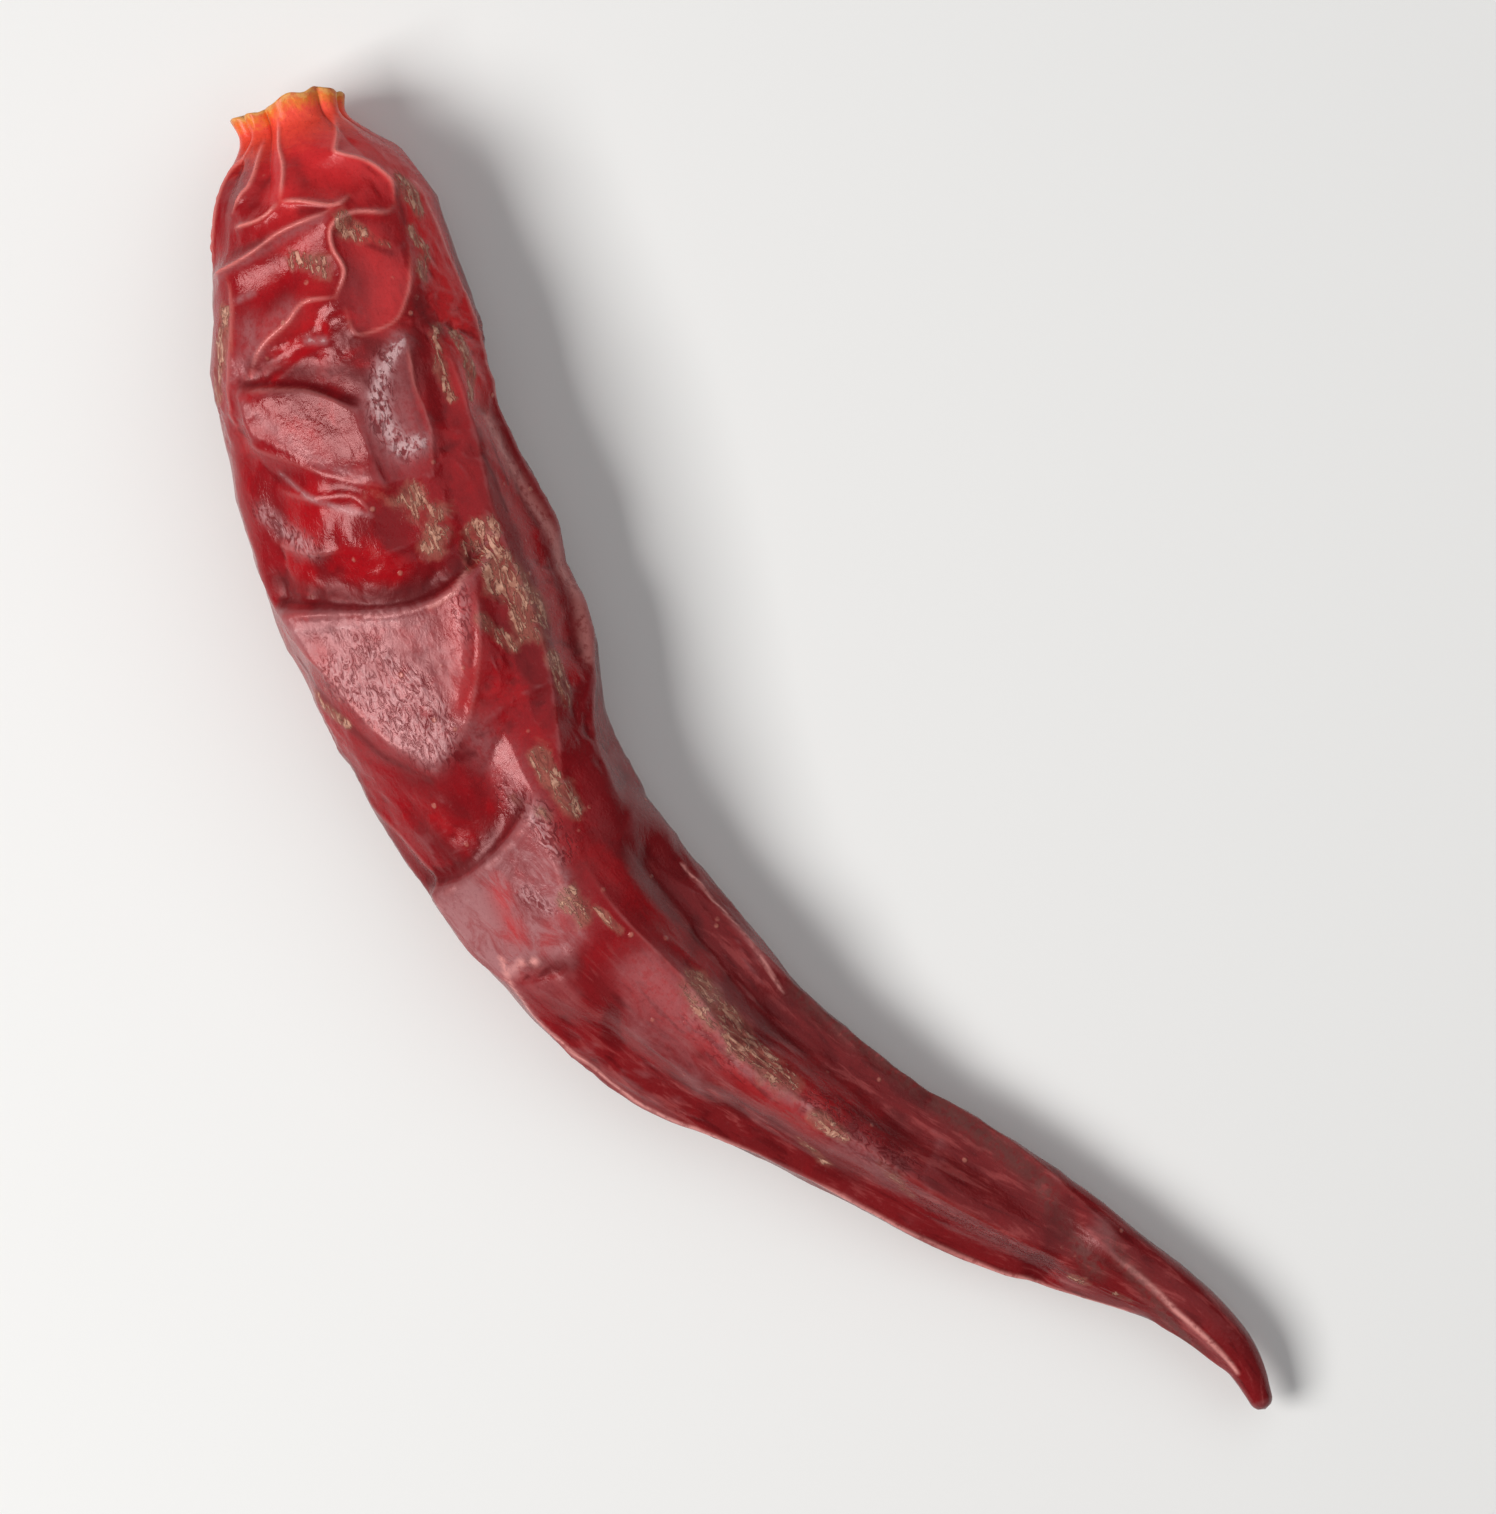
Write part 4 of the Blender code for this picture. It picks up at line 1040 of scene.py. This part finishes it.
# Where the mix node keeps its two colours and its result.
MIX_FIRST = 6
MIX_SECOND = 7
MIX_RESULT = 2


class Graph:
    """One material, and short ways to add nodes to it and to paint one colour over another."""

    def __init__(self, name):
        self.material = bpy.data.materials.new(name)
        self.material.use_nodes = True
        self.tree = self.material.node_tree
        self.colour = None

    def put(self, socket, value):
        """Links a value to a node's socket, or sets the socket to a number or colour."""
        if isinstance(value, Value):
            self.tree.links.new(value.socket, socket)
        else:
            socket.default_value = value

    def shade(self, values):
        """Gives the shader its inputs by their names."""
        shader = self.tree.nodes["Principled BSDF"]
        for name, value in values.items():
            self.put(shader.inputs[name], value)

    def add(self, kind, output, settings=None, **inputs):
        """Adds a node and gives the value of one of its outputs."""
        node = self.tree.nodes.new(kind)
        for name, value in (settings or {}).items():
            setattr(node, name, value)
        for name, value in inputs.items():
            self.put(node.inputs[name.replace("_", " ")], value)
        return Value(self, node.outputs[output])

    def fact(self, name, output="Fac"):
        """What is written on the mesh under this name."""
        return self.add("ShaderNodeAttribute", output, {"attribute_name": name})

    def math(self, operation, first, second):
        result = self.add("ShaderNodeMath", 0, {"operation": operation})
        self.put(result.socket.node.inputs[0], first)
        self.put(result.socket.node.inputs[1], second)
        return result

    def larger(self, first, second):
        return self.math("MAXIMUM", first, second)

    def noise(self, place, scale, detail=3.0, roughness=0.5, distortion=0.0):
        """A smooth noise. Its scale is one number, or one each along the pod, across and up."""
        if isinstance(scale, tuple):
            place = self.add("ShaderNodeMapping", "Vector", Vector=place, Scale=scale)
            scale = 1.0
        return self.add(
            "ShaderNodeTexNoise", "Fac", Vector=place, Scale=scale, Detail=detail,
            Roughness=roughness, Distortion=distortion,
        )

    def mix(self, share, first, second):
        result = self.add("ShaderNodeMix", MIX_RESULT, {"data_type": "RGBA"}, Factor=share)
        self.put(result.socket.node.inputs[MIX_FIRST], first)
        self.put(result.socket.node.inputs[MIX_SECOND], second)
        return result

    def paint(self, share, colour):
        """Lays a colour over the colour so far, by its share at each place."""
        self.colour = self.mix(share, self.colour, colour)


MAROON = (0.165, 0.0055, 0.0080, 1)
DEEP_RED = (0.265, 0.0060, 0.0100, 1)
BRIGHT_RED = (0.36, 0.0035, 0.0075, 1)
TAIL_BROWN = (0.165, 0.0110, 0.0125, 1)
TAIL_PINK = (0.28, 0.040, 0.040, 1)
NECK_PINK = (0.56, 0.024, 0.027, 1)
CREST_HIGHLIGHT_PINK = (0.85, 0.210, 0.180, 1)
PAINTED_SHEEN_PINK = (0.365, 0.150, 0.156, 1)
PAINTED_GLINT_PALE = (0.600, 0.370, 0.375, 1)
RIM_ORANGE = (0.90, 0.085, 0.045, 1)
RIM_YELLOW = (0.74, 0.210, 0.028, 1)
RIM_CREAM = (0.86, 0.420, 0.090, 1)
CORK_BASE = (0.350, 0.135, 0.095, 1)
CORK = (0.40, 0.175, 0.120, 1)
CORK_LIGHT = (0.62, 0.340, 0.240, 1)
CORK_DARK = (0.090, 0.014, 0.012, 1)
DUST = (0.12, 0.036, 0.032, 1)
PALE_SPECK = (0.55, 0.20, 0.15, 1)
PIT_PALE = (0.50, 0.150, 0.040, 1)
PIT_PAINTED_SHADE = (0.085, 0.016, 0.008, 1)
SHEEN_TINT = (1.0, 0.58, 0.58, 1)
SHADE_RED = (0.080, 0.0020, 0.0035, 1)
CURL_PAINTED_SHADE = (0.130, 0.0060, 0.0090, 1)
LINE_CREAM = (0.80, 0.330, 0.300, 1)


def skin_material():
    """Mottled red under a glossy, crinkled film, with corky flecks and a torn orange end."""
    g = Graph("dried_chili_skin")
    skin = g.fact("skin", "Vector")
    station = g.fact("station")
    flank = g.fact("flank")
    pit = g.fact("pit")
    proud = g.fact("proud")
    painted_panel_haze = g.fact("painted_panel_haze")
    flush = g.fact("flush")
    painted_sheen = g.fact("painted_sheen")

    blotch = g.noise(skin, 0.55, 4.0, 0.6, 0.4)
    uneven = blotch - 0.5
    mottle = g.noise(skin, 2.6, 3.0, 0.6)

    # The curls of the shrunken film, and the short strokes that the corky flecks are made of.
    curl_wave = g.noise(skin, (1.35, 2.7, 2.7), 2.0, 0.5, 1.9)
    patch = (g.fact("crinkle") + uneven * 0.8).held()
    curls = curl_wave.between(0.41, 0.46, 1.0, 0.0) * patch.between(0.22, 0.65)
    fleck_wave = g.noise(skin, (0.95, 2.9, 2.9), 4.0, 0.70, 0.8)
    fleck_field = (g.fact("scar") + uneven * 1.5).between(0.26, 0.72)
    fleck_over = fleck_wave - (0.67 - fleck_field * 0.190)
    fleck = (fleck_over.between(0.0, 0.075) * fleck_field).held()

    # The wall's own reds: deep and mottled, and brown on the tail. Painted shade darkens the flank
    # away from the key light, and a painted brighter red stands for light through the thin wall.
    broad = g.noise(skin, (0.09, 0.20, 0.20), 2.0, 0.5, 0.5)
    g.colour = g.mix(broad.between(0.36, 0.60), MAROON, DEEP_RED)
    g.paint(blotch.between(0.50, 0.70) * 0.6, BRIGHT_RED)
    # Painted shade: the flank turned away from the key light is darkened to maroon.
    g.paint(flank.between(0.30, 0.80) * station.between(0.10, 0.26, 0.0, 0.75), MAROON)
    g.paint(station.between(0.44, 0.62, 0.0, 0.70), TAIL_BROWN)
    # Painted light: brighter red where the thin wall would let light through.
    g.paint((g.fact("painted_glow") + uneven * 0.8).between(0.25, 0.75, 0.0, 0.85), BRIGHT_RED)
    g.paint(mottle.between(0.44, 0.74, 0.0, 0.30), MAROON)

    # The pink neck, faded on its flanks as painted shade where the key light falls, and the torn
    # rim.
    neck_with_painted_shade = (station + blotch * 0.08).between(0.075, 0.150, 1.0, 0.0)
    # Painted shade: the neck's pink fades on its flanks, most on the side that the key light falls
    # on.
    neck_with_painted_shade = neck_with_painted_shade * flank.between(0.55, 1.0, 0.90, 0.60) * flank.between(-0.85, -0.25)
    g.paint(g.larger(neck_with_painted_shade, flush), NECK_PINK)
    near_rim = station + mottle * 0.018
    g.paint(near_rim.between(0.016, 0.046, 0.85, 0.0), RIM_ORANGE)
    g.paint(near_rim.between(0.010, 0.021, 0.85, 0.0), RIM_YELLOW)
    g.paint(near_rim.between(0.0085, 0.0125, 0.85, 0.0), RIM_CREAM)

    # The streaks along the tail.
    streak = g.noise(skin, (0.30, 1.9, 1.9), 4.0, 0.6, 0.4)
    on_tail = station.between(0.45, 0.62)
    g.paint(streak.between(0.52, 0.66) * on_tail, TAIL_PINK)
    g.paint(streak.between(0.34, 0.46, 0.55, 0.0) * on_tail, SHADE_RED)

    # Painted highlight: the pale haze on the panels, the sheen along edges and the glints on what
    # is lifted of them; then painted highlight on the crests and painted shade in the grooves of
    # the curls.
    haze = g.noise(skin, (0.40, 0.70, 0.70), 6.0, 0.70, 0.8)
    painted_panel_haze_share = (painted_panel_haze * haze.between(0.38, 0.62, 1.15, 0.40)).held() * (1.0 - flush * 0.70)
    g.paint(painted_panel_haze_share, PAINTED_SHEEN_PINK)
    # Painted highlight: the pale pink sheen along edges, palest where it is strongest.
    painted_edge_sheen = painted_sheen * mottle.between(0.36, 0.56, 0.55, 1.0)
    g.paint(painted_edge_sheen, PAINTED_SHEEN_PINK)
    g.paint(painted_edge_sheen.between(0.62, 0.95, 0.0, 0.85), PAINTED_GLINT_PALE)
    # Painted highlight: pale glints on the lifted curls of the film.
    painted_curl_glints = curl_wave.between(0.50, 0.60) * patch.between(0.25, 0.80, 0.0, 0.50)
    g.paint(painted_curl_glints * g.larger(painted_panel_haze, painted_sheen), PAINTED_GLINT_PALE)
    # Painted highlight along the folds' crests, strongest at the neck.
    g.paint(g.fact("crest") * station.between(0.12, 0.20, 0.95, 0.12), CREST_HIGHLIGHT_PINK)
    # Painted shade in the grooves of the curls.
    g.paint(curls * 0.66, CURL_PAINTED_SHADE)

    # Painted shade in the sunk valleys, the creased edges' cream lines with some painted highlight,
    # the pale specks and the dust.
    # Painted shade in the valleys.
    painted_valley_shade = g.fact("deep") * mottle.between(0.30, 0.60, 1.0, 0.75)
    g.paint(painted_valley_shade * 0.80, SHADE_RED)
    # Cream lines on creased edges, partly painted highlight.
    g.paint(g.fact("light") * mottle.between(0.34, 0.50, 0.45, 1.0), LINE_CREAM)
    spots = g.add("ShaderNodeTexVoronoi", "Distance", Vector=skin, Scale=0.62, Randomness=1.0)
    speck = spots.between(0.05, 0.12, 1.0, 0.0) * blotch.between(0.42, 0.56)
    g.paint(speck * 0.55, PALE_SPECK)
    dusty = g.fact("dust") * mottle.between(0.34, 0.56, 0.25, 0.95)
    g.paint(dusty, DUST)

    # The corky flecks, on tanned and cracked skin.
    g.paint(fleck_field * blotch.between(0.36, 0.60, 0.20, 0.60), CORK_BASE)
    g.paint(fleck_wave.between(0.36, 0.45, 1.0, 0.0) * fleck_field * 0.40, CORK_DARK)
    g.paint(fleck * 0.85, g.mix(mottle.between(0.40, 0.62), CORK, CORK_LIGHT))

    # Painted shade in the creases, a painted highlight on the ridges and a fine grain, and last the
    # lining of the pit, with painted shade deeper in it.
    # Painted shade in the creases, from how far each point stands out of its surroundings.
    painted_crease_shade = proud.between(-0.065, -0.006, 1.0, 0.0)
    g.paint(painted_crease_shade * station.between(0.0, 0.10, 0.40, 0.60), SHADE_RED)
    # Painted highlight on the ridges.
    g.paint(proud.between(0.018, 0.080) * 0.22, PAINTED_SHEEN_PINK)
    fine = g.noise(skin, 6.5, 4.0, 0.65)
    g.paint(fine.between(0.52, 0.70, 0.0, 0.22), SHADE_RED)
    g.paint(fine.between(0.30, 0.42, 1.0, 0.0) * 0.07, PAINTED_SHEEN_PINK)
    lining = g.mix(mottle.between(0.36, 0.64), PIT_PALE, RIM_CREAM)
    # Painted shade: the pit's lining darkens deeper in.
    lining = g.mix(pit.between(0.44, 0.62), lining, PIT_PAINTED_SHADE)
    g.paint(pit.between(0.10, 0.38), lining)

    cloud = g.noise(skin, 0.45, 3.0, 0.6)
    rough = (
        cloud.between(0.35, 0.70, 0.18, 0.29) + painted_panel_haze_share * 0.06 + neck_with_painted_shade * 0.12
        + fleck_field * 0.22 + dusty * 0.25 + painted_valley_shade * 0.30 + pit * 0.30
    ).held()
    grain = g.noise(skin, 5.5, 3.0, 0.65)
    wrinkle = g.noise(skin, (2.0, 3.0, 3.0), 3.0, 0.55, 0.8)
    height = (
        curl_wave * patch * 0.050 + curls * -0.015 + wrinkle * 0.022 + grain * 0.010
        + fleck * 0.055 + speck * 0.030
    )
    g.shade({
        "Base Color": g.colour,
        "Roughness": rough,
        "Normal": g.add("ShaderNodeBump", "Normal", Height=height, Strength=1.0, Distance=MM),
        "Metallic": 0.0,
        "IOR": 1.50,
        "Specular IOR Level": 0.34,
        "Specular Tint": SHEEN_TINT,
    })
    return g.material


# The camera looks straight down, turned so that the pod's tip points to the lower right.
CAMERA_TURN = math.radians(52.93)
VIEW_RIGHT = 5.0 * MM
VIEW_UP = 4.4 * MM
VIEW_HEIGHT = 81.2 * MM
LENS = 180.0
SENSOR = 36.0
NEAREST = 10.0 * MM
# The soft square lights: where each stands, in metres right, up and high as the picture is seen,
# then its side, its power in watts and its colour.
LIGHTS = {
    "key": ((-0.29, -0.07, 0.37), 0.22, 2.15, (1.0, 0.985, 0.97)),
    "top": ((0.15, 0.13, 0.42), 0.60, 0.90, (0.98, 0.99, 1.0)),
}
STUDIO_COLOUR = (0.98, 0.98, 1.0, 1)
STUDIO_STRENGTH = 0.10
FLOOR_COLOUR = (0.82, 0.82, 0.81, 1)
FLOOR_HALF = 1.2


def from_view(right, up, high):
    """A place by how far right and up it is in the picture, in the frame's own axes."""
    cos, sin = math.cos(CAMERA_TURN), math.sin(CAMERA_TURN)
    return Vector((right * cos - up * sin, right * sin + up * cos, high))


def placed_object(name, data, place=(0.0, 0.0, 0.0)):
    """A new object with this data at this place in the scene."""
    new = bpy.data.objects.new(name, data)
    new.location = place
    bpy.context.scene.collection.objects.link(new)
    return new


def make_camera():
    data = bpy.data.cameras.new("camera")
    data.lens = LENS
    data.sensor_width = SENSOR
    data.clip_start = NEAREST
    place = from_view(VIEW_RIGHT, VIEW_UP, VIEW_HEIGHT * LENS / SENSOR)
    camera = placed_object("camera", data, place)
    camera.rotation_euler = (0.0, 0.0, CAMERA_TURN)
    bpy.context.scene.camera = camera


def make_lights():
    for name, (place, side, power, colour) in LIGHTS.items():
        light = bpy.data.lights.new(name, "AREA")
        light.shape = "SQUARE"
        light.size = side
        light.energy = power
        light.color = colour
        lamp = placed_object(name, light, from_view(*place))
        lamp.rotation_euler = (-lamp.location).to_track_quat("-Z", "Y").to_euler()
    world = bpy.data.worlds.new("studio")
    world.use_nodes = True
    background = world.node_tree.nodes["Background"]
    background.inputs["Color"].default_value = STUDIO_COLOUR
    background.inputs["Strength"].default_value = STUDIO_STRENGTH
    bpy.context.scene.world = world


def make_floor():
    mesh = made_mesh("floor", bmesh.ops.create_grid, x_segments=2, y_segments=2, size=FLOOR_HALF)
    g = Graph("pale_floor")
    g.shade({"Base Color": FLOOR_COLOUR, "Roughness": 0.9, "Specular IOR Level": 0.1})
    mesh.materials.append(g.material)
    floor = placed_object("floor", mesh)


def main():
    bpy.context.scene.view_settings.view_transform = "Standard"
    make_camera()
    make_lights()
    make_floor()
    pod = placed_object("pod_skin", pod_mesh())
    pod.data.materials.append(skin_material())
    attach(pod, "root")
    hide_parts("pod")


main()
